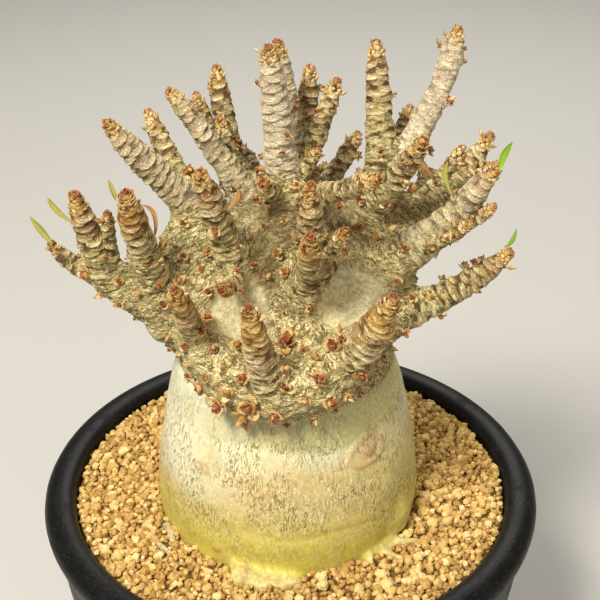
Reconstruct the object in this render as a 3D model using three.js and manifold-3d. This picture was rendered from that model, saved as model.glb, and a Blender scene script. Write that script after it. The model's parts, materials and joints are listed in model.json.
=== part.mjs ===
// Potted desert rose: a swollen trunk with a crown of short knobbly stems, growing in
// granular soil in a round black pot. Millimetres, +Z up. The origin is the centre of the
// pot's flat underside, +X is to the right and -Y is toward the front.
import * as THREE from 'three';
import Module from 'manifold-3d';

const wasm = await Module();
wasm.setup();

// ---- Pot: a tapering bowl with a thick rounded rim
const POT_RADIUS = 75; // widest circle of the rim
const POT_HEIGHT = 83.5;
const POT_FOOT_RADIUS = 46;
const POT_WALL = 5;
const POT_FLOOR = 6;
const RIM_WIDTH = 9.6; // from the widest circle in to the soil
const RIM_DEPTH = 11; // height of the rolled rim
const RIM_WIDEST = 4; // depth of the widest circle below the top of the rim
const DRAIN_COUNT = 5;
const DRAIN_RADIUS = 5;
const DRAIN_CIRCLE = 25;

// ---- Soil: one bed of granules, a little higher beside the trunk
const SOIL_BELOW_RIM = 3.7;
const SOIL_MOUND = 1;

// ---- Trunk: its own axis stands a little left of and in front of the pot's
const TRUNK_RADIUS = 39; // at its widest
const TRUNK_HEIGHT = 48; // soil to shoulder
const TRUNK_OFFSET = [-1, -4];
const TRUNK_BURIED = 0.72; // share of the soil's depth that the tuber reaches down
const DOME_HEIGHT = 30; // shoulder to the top of the dome under the limbs

// ---- Crown: the tables below are for a trunk this wide, and grow or shrink with it
const TABLE_RADIUS = 39;
const STEM_THICKNESS = 1; // multiplies every stem's radius
const LEAF_THICKNESS = 1.1;

const CLEARANCE = 0.3; // between pieces that touch

// ---- Worked out from the sizes above
const soilTop = POT_HEIGHT - SOIL_BELOW_RIM;
const soilRadius = POT_RADIUS - RIM_WIDTH;
const soilDepth = soilTop - POT_FLOOR;
const shoulderZ = soilTop + TRUNK_HEIGHT;
const crownScale = TRUNK_RADIUS / TABLE_RADIUS;

// Limbs: the thick arms that are one with the trunk. Each point is [x, y, z, radius],
// measured from the trunk's axis at the height of the shoulder.
const LIMBS = {
  left: [[-11, -2, 20, 13], [-28, -6, 24, 12], [-41, -8, 28, 8.5], [-53, -6, 32, 4.5]],
  leftHeel: [[-10, -8, 14, 10], [-24, -10, 17, 9], [-38, -11, 19, 5.5]],
  leftShoulder: [[-8, 2, 28, 13], [-21, 2, 35, 11.5], [-34, 0, 38, 8.5]],
  upperLeft: [[-5, 4, 26, 13], [-17, 6, 38, 9.5], [-26, 10, 44, 6]],
  backLeft: [[-3, 14, 24, 13], [-9, 24, 38, 9], [-15, 31, 44, 5.5]],
  centre: [[1, 4, 22, 15], [0, 5, 40, 10], [0, 7, 52, 6.5]],
  centreBack: [[5, 16, 24, 12], [5, 24, 42, 8], [5, 28, 50, 5]],
  upperRight: [[11, 10, 22, 13], [23, 16, 40, 9], [30, 22, 51, 6]],
  right: [[13, 2, 20, 13], [28, 2, 29, 9], [38, 3, 36, 6]],
  rightBack: [[16, 12, 20, 11], [34, 19, 34, 7.5], [44, 22, 42, 4.5]],
  lowerRight: [[15, -6, 10, 11], [30, -2, 15, 7], [39, 1, 18, 5]],
  front: [[3, -2, 18, 12], [6, -9, 28, 8.5], [7, -12, 37, 5.5]],
  frontLeft: [[-6, -2, 22, 12], [-13, -5, 33, 8], [-15, -8, 38, 6]],
  ridge: [[-26, -12, 20, 6], [-20, -22, 14, 7], [-7, -30, 9, 8.5], [6, -30, 10, 8.5],
    [17, -22, 15, 7.5], [24, -10, 22, 6]],
  back: [[2, 14, 16, 13], [2, 28, 24, 9], [2, 36, 28, 6]],
};

// Surface roots that are one with the trunk, [x, y, z, radius] from its axis at the soil.
const ROOTS = {
  heel: [[-12, -32, 2, 4], [-15, -37, 0.5, 3.6], [-5, -41, 0, 3.6], [5, -39, -1, 3]],
  flare: [[4, -3, 16, 16], [34, -21, 3, 13]],
  lump: [[15, -24, 2, 5], [20, -27, 2, 4.4], [24, -28, 1.2, 3]],
  arm: [[22, -27, 1.6, 2.6], [30, -26, 1.4, 1.9], [39, -24, 0.8, 1.4]],
  leftFork: [[21, -27, 1.6, 2.6], [23, -31, 1, 2.2], [24, -35, 0.2, 1.5]],
  rightFork: [[24, -27, 1.4, 2.4], [29, -30, 1, 2], [33, -32, 0.2, 1.4]],
};

// Thin loose roots lying half in the soil, in the same coordinates.
const FINE_ROOTS = {
  root_left_loop: [[-36.5, -16, -1.5, 1.3], [-35, -19, 1.4, 1.3], [-33.5, -22, 0.8, 1.2],
    [-33, -25, -1.4, 1.1]],
  root_left_tail: [[-39, -22, 0.2, 0.9], [-37, -26, 0.9, 0.9], [-33, -30, 0.4, 0.8]],
};

// Stems: name, limb, share of the limb at which it springs, tip [x, y, z] from the
// trunk's axis at the shoulder, radius at the base and near the tip, and how far the
// middle hangs below the straight line, so that a stem curves upward.
const STEMS = [
  ['stem_left_outer', 'left', 0.95, [-63, -5, 40], 2.9, 1.9, 1.5],
  ['stem_left_forward', 'left', 0.85, [-53, -16, 59], 4.6, 2.8, 2],
  ['stem_left_sprig', 'left', 0.85, [-45, -16, 54], 2.1, 1.6, 1],
  ['stem_left_twin', 'left', 0.55, [-39, -24, 63], 4.5, 3.2, 2],
  ['stem_left_long', 'upperLeft', 0.8, [-46, 0, 72], 5.4, 2.7, 1],
  ['stem_left_green', 'upperLeft', 1, [-38, 24, 66], 4, 2.3, 1],
  ['stem_back_left_long', 'backLeft', 0.4, [-32, 24, 72], 4.3, 2.5, -2],
  ['stem_back_left_tall', 'backLeft', 1, [-20, 44, 72], 3.7, 2.8, 1],
  ['stem_back_left_dry', 'backLeft', 0.95, [-26, 38, 66], 2.4, 1.8, 0],
  ['stem_back_left_thin', 'backLeft', 0.65, [-19, 30, 62], 2.5, 1.8, 2],
  ['stem_centre_column', 'centre', 0.9, [-4, 2, 91], 5, 2.9, 0],
  ['stem_centre_behind', 'centreBack', 0.55, [-2, 20, 87], 3.7, 2.5, 0],
  ['stem_centre_back', 'centreBack', 0.85, [7, 34, 75], 3.3, 2.7, 0],
  ['stem_centre_lean', 'centre', 0.85, [14, 18, 77], 3.4, 2.4, 2],
  ['stem_centre_sprig', 'centre', 1, [9, 6, 62], 2.3, 1.7, 1],
  ['stem_centre_tall', 'upperRight', 0.85, [25, 32, 83], 5, 2.6, 0],
  ['stem_right_tallest', 'upperRight', 0.95, [48, 30, 87], 4.5, 2.6, 7],
  ['stem_right_red', 'upperRight', 0.55, [36, 0, 67], 3.9, 2.9, 1],
  ['stem_right_back', 'upperRight', 0.7, [36, 38, 62], 2.9, 2, 1],
  ['stem_right_pointer', 'centre', 0.85, [23, -18, 64], 3.3, 2.4, 1],
  ['stem_right_outer', 'right', 0.9, [56, 2, 59], 4.7, 3, 2],
  ['stem_right_outer_back', 'rightBack', 0.9, [58, 26, 58], 3.3, 2.6, 2],
  ['stem_right_dry', 'rightBack', 0.7, [50, 24, 55], 2.6, 2.1, 1],
  ['stem_right_low', 'lowerRight', 0.9, [62, 4, 32], 4.6, 2.8, 2],
  ['stem_right_low_sprig', 'right', 1, [56, 0, 48], 2.1, 1.8, 1],
  ['stem_right_side_sprig', 'right', 0.8, [49, -6, 46], 2.4, 1.8, 1],
  ['stem_front_main', 'ridge', 0.45, [-9, -42, 41], 5.2, 2.6, 1],
  ['stem_front_left', 'ridge', 0.1, [-27, -36, 43], 3.8, 2.3, 1],
  ['stem_front_high', 'front', 1, [6, -22, 64], 3.8, 2.7, 1],
  ['stem_front_middle', 'front', 0.7, [6, -30, 54], 3.4, 2.4, 2],
  ['stem_front_right', 'ridge', 0.75, [26, -38, 41], 5.4, 3.6, 2],
  ['stem_front_left_high', 'frontLeft', 0.8, [-21, -18, 66], 4.8, 2.8, 1],
  ['stem_front_crotch', 'centre', 0.85, [-6, -6, 58], 2.9, 2.4, 1],
  ['stem_front_knob', 'frontLeft', 0.6, [-16, -30, 39], 2.4, 1.9, 1],
  ['stem_front_sprig', 'front', 0.9, [15, -22, 52], 2.1, 1.7, 1],
  ['stem_back_low_left', 'back', 0.9, [-16, 54, 46], 4.2, 2.6, 2],
  ['stem_back_low_middle', 'back', 1, [3, 58, 50], 4.4, 2.8, 2],
  ['stem_back_low_right', 'back', 0.85, [22, 52, 48], 4, 2.6, 2],
  ['stem_back_right_low', 'rightBack', 0.55, [44, 42, 40], 3.6, 2.4, 2],
];

// Leaves: name, foot and tip [x, y, z] from the trunk's axis at the shoulder, half
// width and colour.
const GREEN = '#7fb52c';
const YELLOW_GREEN = '#b9b548';
const DRY = '#b98a4c';
const LEAVES = [
  ['leaf_right_outer', [56, 1.5, 58.5], [59, -1, 67], 1.5, GREEN],
  ['leaf_right_low', [61.5, 4, 32], [63, 3, 40], 0.9, GREEN],
  ['leaf_left_forward', [-56, -14, 50], [-60, -15, 58], 1.1, GREEN],
  ['leaf_left_outer', [-62, -6, 40], [-67, -7, 49], 1.3, YELLOW_GREEN],
  ['leaf_left_twin', [-41, -23, 60], [-43, -24, 67], 0.9, YELLOW_GREEN],
  ['leaf_front_dry', [-12, -16, 54], [-12, -17, 61], 1.3, DRY],
  ['leaf_right_small', [42, 3, 52], [43, 2, 60], 0.9, YELLOW_GREEN],
  ['leaf_right_papery', [39, 2, 56], [35, 0, 62], 1.5, DRY],
  ['leaf_left_curl', [-31, -11, 47], [-37, -11, 54], 0.9, DRY],
];

// ---- Helpers
const POT_SEGMENTS = 40;
const TRUNK_SEGMENTS = 36;
const LIMB_SIDES = 10;
const STEM_SIDES = 8;
const TUBE_RINGS = 6;

// A closed solid from a three.js geometry, turned right side out.
function solid(geometry) {
  const position = geometry.getAttribute('position');
  const found = new Map();
  const points = [];
  const corner = [];
  for (let i = 0; i < position.count; i += 1) {
    const xyz = [position.getX(i), position.getY(i), position.getZ(i)];
    const key = xyz.map((v) => Math.round(v * 1e4)).join(',');
    if (!found.has(key)) {
      found.set(key, points.length / 3);
      points.push(...xyz);
    }
    corner.push(found.get(key));
  }
  const index = geometry.getIndex() ? [...geometry.getIndex().array] : corner.map((_, i) => i);
  const faces = [];
  let volume = 0;
  for (let i = 0; i < index.length; i += 3) {
    const face = [corner[index[i]], corner[index[i + 1]], corner[index[i + 2]]];
    if (face[0] === face[1] || face[1] === face[2] || face[2] === face[0]) continue;
    const [a, b, c] = face.map((n) => new THREE.Vector3().fromArray(points, n * 3));
    volume += a.dot(b.cross(c));
    faces.push(face);
  }
  const triVerts = new Uint32Array(faces.flatMap((f) => (volume < 0 ? [f[0], f[2], f[1]] : f)));
  const vertProperties = new Float32Array(points);
  return new wasm.Manifold(new wasm.Mesh({ numProp: 3, vertProperties, triVerts }));
}

// The largest connected body of a solid, as a three.js geometry.
function largestBody(manifold) {
  const mesh = manifold.getMesh();
  const parent = Array.from({ length: mesh.numVert }, (_, i) => i);
  const root = (i) => {
    let at = i;
    while (parent[at] !== at) at = parent[at];
    parent[i] = at;
    return at;
  };
  const tri = mesh.triVerts;
  for (let i = 0; i < tri.length; i += 3) {
    parent[root(tri[i])] = root(tri[i + 1]);
    parent[root(tri[i + 2])] = root(tri[i + 1]);
  }
  const bodies = new Map();
  for (let i = 0; i < tri.length; i += 3) {
    const name = root(tri[i]);
    if (!bodies.has(name)) bodies.set(name, []);
    bodies.get(name).push(tri[i], tri[i + 1], tri[i + 2]);
  }
  const sizeOf = (faces) => {
    let total = 0;
    for (let i = 0; i < faces.length; i += 3) {
      const [a, b, c] = [0, 1, 2].map((k) => new THREE.Vector3()
        .fromArray(mesh.vertProperties, faces[i + k] * mesh.numProp));
      total += a.dot(b.cross(c));
    }
    return total;
  };
  const largest = [...bodies.values()].sort((a, b) => sizeOf(b) - sizeOf(a))[0];
  const geometry = new THREE.BufferGeometry();
  const xyz = [];
  for (const n of largest) {
    for (let k = 0; k < 3; k += 1) xyz.push(mesh.vertProperties[n * mesh.numProp + k]);
  }
  geometry.setAttribute('position', new THREE.Float32BufferAttribute(xyz, 3));
  geometry.computeVertexNormals();
  return geometry;
}

const union = (list) => list.reduce((all, next) => all.add(next));

// A profile of [radius, height] pairs turned about the vertical.
function turned(profile, segments) {
  const points = profile.map(([r, z]) => new THREE.Vector2(r, z));
  const geometry = new THREE.LatheGeometry(points, segments);
  geometry.rotateX(Math.PI / 2);
  return geometry;
}

// A round tapering tube with a domed end, laid along a curve. radiusAt takes the share
// of the length; extra widens and lengthens it.
function tube(curve, radiusAt, extra, sides) {
  const length = curve.getLength();
  const frames = curve.computeFrenetFrames(TUBE_RINGS);
  const endRadius = radiusAt(1) + extra;
  const shaft = length - radiusAt(1);
  const profile = [new THREE.Vector2(0, 0)];
  for (let i = 0; i <= TUBE_RINGS; i += 1) {
    const share = i / TUBE_RINGS;
    profile.push(new THREE.Vector2(radiusAt(share) + extra, share * shaft));
  }
  for (const turn of [0.38, 0.72]) {
    const angle = turn * (Math.PI / 2);
    profile.push(new THREE.Vector2(endRadius * Math.cos(angle), shaft + endRadius * Math.sin(angle)));
  }
  profile.push(new THREE.Vector2(0, shaft + endRadius));
  const geometry = new THREE.LatheGeometry(profile, sides);
  const position = geometry.getAttribute('position');
  for (let i = 0; i < position.count; i += 1) {
    const share = THREE.MathUtils.clamp(position.getY(i) / length, 0, 1);
    const ring = Math.round(share * TUBE_RINGS);
    const along = curve.getTangentAt(share);
    const across = new THREE.Vector3().crossVectors(frames.binormals[ring], along).normalize();
    const beside = new THREE.Vector3().crossVectors(along, across);
    const at = curve.getPointAt(share)
      .addScaledVector(along, position.getY(i) - share * length)
      .addScaledVector(across, position.getX(i))
      .addScaledVector(beside, position.getZ(i));
    position.setXYZ(i, at.x, at.y, at.z);
  }
  return geometry;
}

// Where a point [x, y, z] of the tables lies, measured from the trunk's axis at height z0.
function tablePoint([x, y, z], z0) {
  return new THREE.Vector3(x, y, z).multiplyScalar(crownScale)
    .add(new THREE.Vector3(...TRUNK_OFFSET, z0));
}

const crownPoint = (xyz) => tablePoint(xyz, shoulderZ);
const limbCurve = (points, z0) => new THREE.CatmullRomCurve3(points.map((p) => tablePoint(p, z0)));

// A tube through points [x, y, z, radius] scaled with the trunk and set at height z0.

function limb(points, z0, extra, sides) {
  const radii = points.map((p) => p[3] * crownScale);
  const radiusAt = (share) => {
    const at = share * (radii.length - 1);
    const i = Math.min(Math.floor(at), radii.length - 2);
    return THREE.MathUtils.lerp(radii[i], radii[i + 1], at - i);
  };
  return solid(tube(limbCurve(points, z0), radiusAt, extra, sides));
}

// ---- Pot and soil
function innerWall(inset) {
  const foot = new THREE.Vector2(POT_FOOT_RADIUS - POT_WALL - inset, POT_FLOOR + inset);
  const belly = new THREE.Vector2(soilRadius - 2 - inset, POT_HEIGHT * 0.22);
  const neck = new THREE.Vector2(soilRadius - inset, POT_HEIGHT - RIM_DEPTH);
  return new THREE.QuadraticBezierCurve(foot, belly, neck).getPoints(6).map((p) => [p.x, p.y]);
}

function pot() {
  const outerNeck = POT_RADIUS - 3;
  const outer = new THREE.QuadraticBezierCurve(
    new THREE.Vector2(POT_FOOT_RADIUS, 2),
    new THREE.Vector2(outerNeck - 4, POT_HEIGHT * 0.22),
    new THREE.Vector2(outerNeck, POT_HEIGHT - RIM_DEPTH),
  ).getPoints(7).map((p) => [p.x, p.y]);
  const crest = POT_RADIUS - RIM_WIDTH * 0.55;
  const rim = [
    [POT_RADIUS - 0.8, POT_HEIGHT - RIM_WIDEST * 1.8],
    [POT_RADIUS, POT_HEIGHT - RIM_WIDEST],
    [POT_RADIUS - 0.9, POT_HEIGHT - RIM_WIDEST * 0.45],
    [POT_RADIUS - 2.6, POT_HEIGHT - RIM_WIDEST * 0.12],
    [crest, POT_HEIGHT],
    [soilRadius + 2, POT_HEIGHT - RIM_WIDEST * 0.15],
    [soilRadius + 0.6, POT_HEIGHT - RIM_WIDEST * 0.5],
    [soilRadius, POT_HEIGHT - RIM_WIDEST * 0.92],
  ];
  const profile = [
    [0, 0], [POT_FOOT_RADIUS - 1.5, 0],
    ...outer, ...rim, ...innerWall(0).reverse(),
    [0, POT_FLOOR],
  ];
  let body = solid(turned(profile, POT_SEGMENTS));
  for (let i = 0; i < DRAIN_COUNT; i += 1) {
    const angle = ((i + 0.5) / DRAIN_COUNT) * 2 * Math.PI;
    const hole = new THREE.CylinderGeometry(DRAIN_RADIUS, DRAIN_RADIUS, POT_FLOOR * 3, 12);
    hole.rotateX(Math.PI / 2);
    hole.translate(DRAIN_CIRCLE * Math.cos(angle), DRAIN_CIRCLE * Math.sin(angle), 0);
    body = body.subtract(solid(hole));
  }
  return body;
}

function soil() {
  const wall = innerWall(CLEARANCE);
  const profile = [
    [0, POT_FLOOR + CLEARANCE], ...wall,
    [soilRadius - CLEARANCE, soilTop - 0.8],
    [soilRadius - 3, soilTop],
    [TRUNK_RADIUS * 1.25, soilTop + SOIL_MOUND * 0.6],
    [TRUNK_RADIUS, soilTop + SOIL_MOUND],
    [0, soilTop + SOIL_MOUND],
  ];
  return solid(turned(profile, POT_SEGMENTS));
}

// ---- Trunk with its limbs and surface roots; extra grows it to leave room round it
function trunk(extra) {
  const bottom = soilTop - soilDepth * TRUNK_BURIED;
  const sunk = soilTop - bottom;
  const below = [[0.4, 0.93], [0.74, 0.64], [0.93, 0.3], [0.985, 0.03]];
  const above = [[1, 0.2], [0.975, 0.42], [0.92, 0.66], [0.82, 0.99]];
  const dome = [[0.7, 0.32], [0.5, 0.64], [0.26, 0.9]];
  const profile = [
    [0, bottom - extra],
    ...below.map(([r, s]) => [TRUNK_RADIUS * r + extra, soilTop - sunk * s - extra * 0.5]),
    ...above.map(([r, s]) => [TRUNK_RADIUS * r + extra, soilTop + TRUNK_HEIGHT * s]),
    ...dome.map(([r, s]) => [TRUNK_RADIUS * r + extra, shoulderZ + DOME_HEIGHT * s + extra]),
    [0, shoulderZ + DOME_HEIGHT + extra],
  ];
  const body = turned(profile, TRUNK_SEGMENTS);
  body.translate(TRUNK_OFFSET[0], TRUNK_OFFSET[1], 0);
  const limbs = Object.values(LIMBS).map((p) => limb(p, shoulderZ, extra, LIMB_SIDES));
  const roots = Object.values(ROOTS).map((p) => limb(p, soilTop, extra, STEM_SIDES));
  return union([solid(body), ...limbs, ...roots]);
}

// ---- Stems
function stem([, limbName, share, tip, baseRadius, tipRadius, hang], extra) {
  const from = limbCurve(LIMBS[limbName], shoulderZ).getPointAt(share);
  const to = crownPoint(tip);
  const middle = from.clone().lerp(to, 0.5);
  middle.z -= 2 * hang * crownScale;
  const curve = new THREE.QuadraticBezierCurve3(from, middle, to);
  const wide = baseRadius * crownScale * STEM_THICKNESS;
  const narrow = tipRadius * crownScale * STEM_THICKNESS;
  const swell = (s) => THREE.MathUtils.lerp(wide, narrow, s ** 1.3);
  return solid(tube(curve, swell, extra, STEM_SIDES));
}

// ---- Leaves: a thin blade, widest past its middle, standing on a stem
function leaf([, foot, tip, halfWidth], extra) {
  const [from, to] = [foot, tip].map(crownPoint);
  const length = from.distanceTo(to);
  const blade = new THREE.SphereGeometry(1, 8, 6);
  const thin = LEAF_THICKNESS / 2 + extra;
  blade.scale(halfWidth * crownScale + extra, length / 2 + extra, thin);
  blade.translate(0, length / 2, 0);
  const along = to.clone().sub(from).normalize();
  blade.applyQuaternion(new THREE.Quaternion().setFromUnitVectors(new THREE.Vector3(0, 1, 0), along));
  blade.translate(from.x, from.y, from.z);
  return solid(blade);
}

// ---- Assembly
const plant = new THREE.Group();
plant.name = 'potted_desert_rose';

function addPart(name, manifold, colour, roughness) {
  const material = new THREE.MeshStandardMaterial({ color: colour, roughness, metalness: 0 });
  const mesh = new THREE.Mesh(largestBody(manifold), material);
  mesh.name = name;
  plant.add(mesh);
}

function boxesMeet(a, b) {
  const p = a.boundingBox();
  const q = b.boundingBox();
  return [0, 1, 2].every((k) => p.min[k] < q.max[k] && q.min[k] < p.max[k]);
}

const grownTrunk = trunk(CLEARANCE);
addPart('pot', pot(), '#1d1d1e', 0.55);

const fineRoots = Object.entries(FINE_ROOTS).map(([name, points]) => ({
  name,
  body: limb(points, soilTop + SOIL_MOUND, 0, 6).subtract(grownTrunk),
  grown: limb(points, soilTop + SOIL_MOUND, CLEARANCE, 6),
}));
const bed = fineRoots.reduce((all, root) => all.subtract(root.grown), soil().subtract(grownTrunk));
addPart('soil', bed, '#c8a067', 0.95);
addPart('trunk', trunk(0), '#b3a88c', 0.75);
fineRoots.forEach(({ name, body }) => addPart(name, body, '#d8cfae', 0.7));

// Each piece of the crown is cut clear of the trunk and of the pieces placed before it.
const placed = [grownTrunk];
function place(name, make, colour, roughness) {
  const whole = make(0);
  const body = placed.filter((other) => boxesMeet(whole, other))
    .reduce((rest, other) => rest.subtract(other), whole);
  placed.push(make(CLEARANCE));
  addPart(name, body, colour, roughness);
}
STEMS.forEach((row) => place(row[0], (extra) => stem(row, extra), '#9d8a6f', 0.8));
LEAVES.forEach((row) => place(row[0], (extra) => leaf(row, extra), row[4], 0.6));

export default plant;
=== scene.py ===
"""Looks of a potted desert rose: bark, leaf scars, buds, leaves, clay granules and pot.

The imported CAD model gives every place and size. Stems are read back from their CAD solids
as a centre line with a radius, and dressed with overlapping leaf scars.
"""

import itertools
import json
import math

import bmesh
import bpy
import numpy as np
from bpy.props import FloatProperty, FloatVectorProperty, IntProperty, PointerProperty
from mathutils import Matrix, Vector
from mathutils.bvhtree import BVHTree


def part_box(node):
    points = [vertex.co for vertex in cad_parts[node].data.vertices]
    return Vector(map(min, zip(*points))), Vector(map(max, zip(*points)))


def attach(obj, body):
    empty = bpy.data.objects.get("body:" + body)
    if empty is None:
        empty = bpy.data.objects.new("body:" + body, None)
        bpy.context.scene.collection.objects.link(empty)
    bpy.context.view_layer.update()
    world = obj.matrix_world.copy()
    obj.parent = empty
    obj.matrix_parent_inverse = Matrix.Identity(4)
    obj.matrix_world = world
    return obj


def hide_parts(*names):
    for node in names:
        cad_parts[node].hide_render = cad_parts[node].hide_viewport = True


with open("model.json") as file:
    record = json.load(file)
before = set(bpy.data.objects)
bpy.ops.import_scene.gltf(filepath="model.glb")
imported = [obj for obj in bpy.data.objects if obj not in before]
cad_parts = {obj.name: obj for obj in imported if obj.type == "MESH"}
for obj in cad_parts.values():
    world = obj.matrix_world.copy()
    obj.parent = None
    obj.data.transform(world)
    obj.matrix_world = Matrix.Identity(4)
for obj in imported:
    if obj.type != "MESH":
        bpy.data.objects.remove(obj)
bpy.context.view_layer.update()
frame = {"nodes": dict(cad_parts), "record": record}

bl_info = {
    "name": "Potted Desert Rose",
    "version": (1, 0, 0),
    "blender": (4, 5, 0),
    "location": "3D View > Sidebar > Desert Rose",
    "description": "Builds the looks of a potted desert rose round its packed CAD model",
    "category": "Add Mesh",
}

MM = 0.001
# vertices closer than this are one, and a cut this near to a vertex goes through it
MERGE, CUT_SLACK = 0.001 * MM, 1e-7
ANY_TURN = (0, 6.28)
GOLDEN_TURN = math.radians(137.5)
STEMS = sorted(n for n in frame["nodes"] if n.startswith("stem_"))
LEAVES = sorted(n for n in frame["nodes"] if n.startswith("leaf_"))
FINE_ROOTS = sorted(n for n in frame["nodes"] if n.startswith("root_"))

POT_LOW, POT_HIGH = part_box("pot")
SOIL_LOW, SOIL_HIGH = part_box("soil")
POT_RADIUS = (POT_HIGH.x - POT_LOW.x) / 2
POT_HEIGHT = POT_HIGH.z
SOIL_RADIUS = (SOIL_HIGH.x - SOIL_LOW.x) / 2 + 0.3 * MM
SOIL_TOP = SOIL_HIGH.z - 1 * MM
TRUNK_AXIS = Vector((-1 * MM, -4 * MM, 0))
SHOULDER = SOIL_TOP + 48 * MM
CROWN_HEART = Vector((0, 0, SHOULDER + 18 * MM))
# old scars on the front of the trunk: sideways, height above the soil and radius, in mm
SKIN_SCARS = ((22, 35, 5.2), (-7, 27.5, 1.7), (-23, 31, 2.2), (-1.3, 42, 1.1), (-20, 6.5, 1.5),
              (-12, 4, 1.6))
# smooth hollows between the limbs: place from the trunk's axis at the shoulder and radius, in mm
VALLEYS = ((-12.5, -15, 24, 8.5), (18, -11, 25, 10))
SEEDS = {"stem": 100, "tip_buds": 300, "side_buds": 600, "limb_buds": 900, "side_sites": 900,
         "limb_sites": 3, "granule": 40}
CAMERA_PLACE = Vector((0, -295.3 * MM, 312.7 * MM))
CAMERA_DOWN, CAMERA_RIGHT = math.radians(29.6), math.radians(0.55)
CAMERA_LENS, CAMERA_SENSOR = 72.0, 36.0


# ---------------------------------------------------------------- settings
class PotSettings(bpy.types.PropertyGroup):
    """Sizes and colour of the pot"""
    colour: FloatVectorProperty(name="Colour", subtype="COLOR", size=3, min=0, max=1,
                                description="Colour of the pot", default=(0.006, 0.006, 0.006))
    wall: FloatProperty(name="Wall", unit="LENGTH", default=5 * MM,
                        description="Thickness of the wall; the floor is 1 mm thicker")
    foot_radius: FloatProperty(name="Foot radius", unit="LENGTH", default=46 * MM,
                               description="Radius of the flat underside")


class SoilSettings(bpy.types.PropertyGroup):
    """Sizes and colours of the clay granules"""
    granule: FloatProperty(name="Granule", unit="LENGTH", default=1.70 * MM,
                           description="Usual width of a granule")
    pale: FloatVectorProperty(name="Pale clay", subtype="COLOR", size=3, min=0, max=1,
                              description="Colour of the palest granules",
                              default=(0.80, 0.61, 0.25))
    dark: FloatVectorProperty(name="Dark clay", subtype="COLOR", size=3, min=0, max=1,
                              description="Colour of the darkest granules",
                              default=(0.46, 0.25, 0.065))
    seed: IntProperty(name="Seed", default=11, description="Changes how the granules fall")


class TrunkSettings(bpy.types.PropertyGroup):
    """Colours and relief of the trunk"""
    voxel: FloatProperty(name="Trunk mesh", unit="LENGTH", default=0.78 * MM,
                         description="Size of the smooth trunk's mesh faces")
    limb_voxel: FloatProperty(name="Limb mesh", unit="LENGTH", default=0.575 * MM,
                              description="Size of the limbs' mesh faces")
    ledge: FloatProperty(name="Wrinkle height", unit="LENGTH", default=0.46 * MM,
                         description="Height of the wrinkles on the limbs")
    fillet: FloatProperty(name="Fillet", unit="LENGTH", default=2.5 * MM,
                          description="Radius of the fillets where stems grow out of the limbs")
    base_colour: FloatVectorProperty(name="Base", subtype="COLOR", size=3, min=0, max=1,
                                     description="Green skin just above the soil",
                                     default=(0.65, 0.58, 0.065))
    middle_colour: FloatVectorProperty(name="Middle", subtype="COLOR", size=3, min=0, max=1,
                                       description="Cream skin of the middle",
                                       default=(0.70, 0.56, 0.25))
    upper_colour: FloatVectorProperty(name="Upper", subtype="COLOR", size=3, min=0, max=1,
                                      description="Grey green skin below the crown",
                                      default=(0.50, 0.49, 0.24))


class StemSettings(bpy.types.PropertyGroup):
    """Colours and relief of the stems and limbs"""
    scar_spacing: FloatProperty(name="Scar spacing", unit="LENGTH", default=0.60 * MM,
                                description="Distance along a stem from one leaf scar to the next")
    scar_reach: FloatProperty(name="Scar reach", unit="LENGTH", default=2.1 * MM,
                              description="How far up the stem one scar's cushion runs")
    scar_height: FloatProperty(name="Scar height", unit="LENGTH", default=0.76 * MM,
                               description="How far a scar's lower edge stands out")
    grey: FloatVectorProperty(name="Grey", subtype="COLOR", size=3, min=0, max=1,
                              description="Colour of old bark", default=(0.41, 0.32, 0.12))
    # on the ridges this cream is partly the bark's own colour and partly painted highlight
    cream: FloatVectorProperty(name="Cream", subtype="COLOR", size=3, min=0, max=1,
                               description="Colour of the ridges", default=(0.95, 0.82, 0.43))
    gold: FloatVectorProperty(name="Gold", subtype="COLOR", size=3, min=0, max=1,
                              description="Colour of the youngest bark near the tips",
                              default=(0.62, 0.38, 0.065))
    # colour of the folds, partly their own and partly painted shade; also the painted shade in the
    # middle of the crown
    crevice_and_shade: FloatVectorProperty(name="Crevice", subtype="COLOR", size=3, min=0, max=1,
                                 description="Colour in the folds under the scars",
                                 default=(0.125, 0.078, 0.03))


class BudSettings(bpy.types.PropertyGroup):
    """Sizes and colours of the buds"""
    side_bud: FloatProperty(name="Side bud", unit="LENGTH", default=1.55 * MM,
                            description="Length of a side bud's scales")
    red: FloatVectorProperty(name="Red", subtype="COLOR", size=3, min=0, max=1,
                             description="Colour of young scales", default=(0.34, 0.028, 0.022))
    brown: FloatVectorProperty(name="Brown", subtype="COLOR", size=3, min=0, max=1,
                               description="Colour of old scales", default=(0.42, 0.19, 0.05))


class LeafSettings(bpy.types.PropertyGroup):
    """Colours of the leaves"""
    green: FloatVectorProperty(name="Green", subtype="COLOR", size=3, min=0, max=1,
                               description="Colour of fresh leaves", default=(0.24, 0.44, 0.03))
    dry: FloatVectorProperty(name="Dry", subtype="COLOR", size=3, min=0, max=1,
                             description="Colour of dry leaves", default=(0.50, 0.27, 0.085))


class StageSettings(bpy.types.PropertyGroup):
    """Floor, light and camera"""
    floor_colour: FloatVectorProperty(name="Floor", subtype="COLOR", size=3, min=0, max=1,
                                      description="Colour of the floor",
                                      default=(0.62, 0.61, 0.59))
    key_power: FloatProperty(name="Key light", unit="POWER", default=12.2,
                             description="Power of the light at the left")
    fill_power: FloatProperty(name="Fill light", unit="POWER", default=2.5,
                              description="Power of the wide light at the right")


# ---------------------------------------------------------------- arrays and noise
def smoothstep(low, high, value):
    """0 at low, 1 at high and smooth between them; low may be the larger one."""
    share = np.clip((value - low) / (high - low), 0, 1)
    return share * share * (3 - 2 * share)


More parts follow.
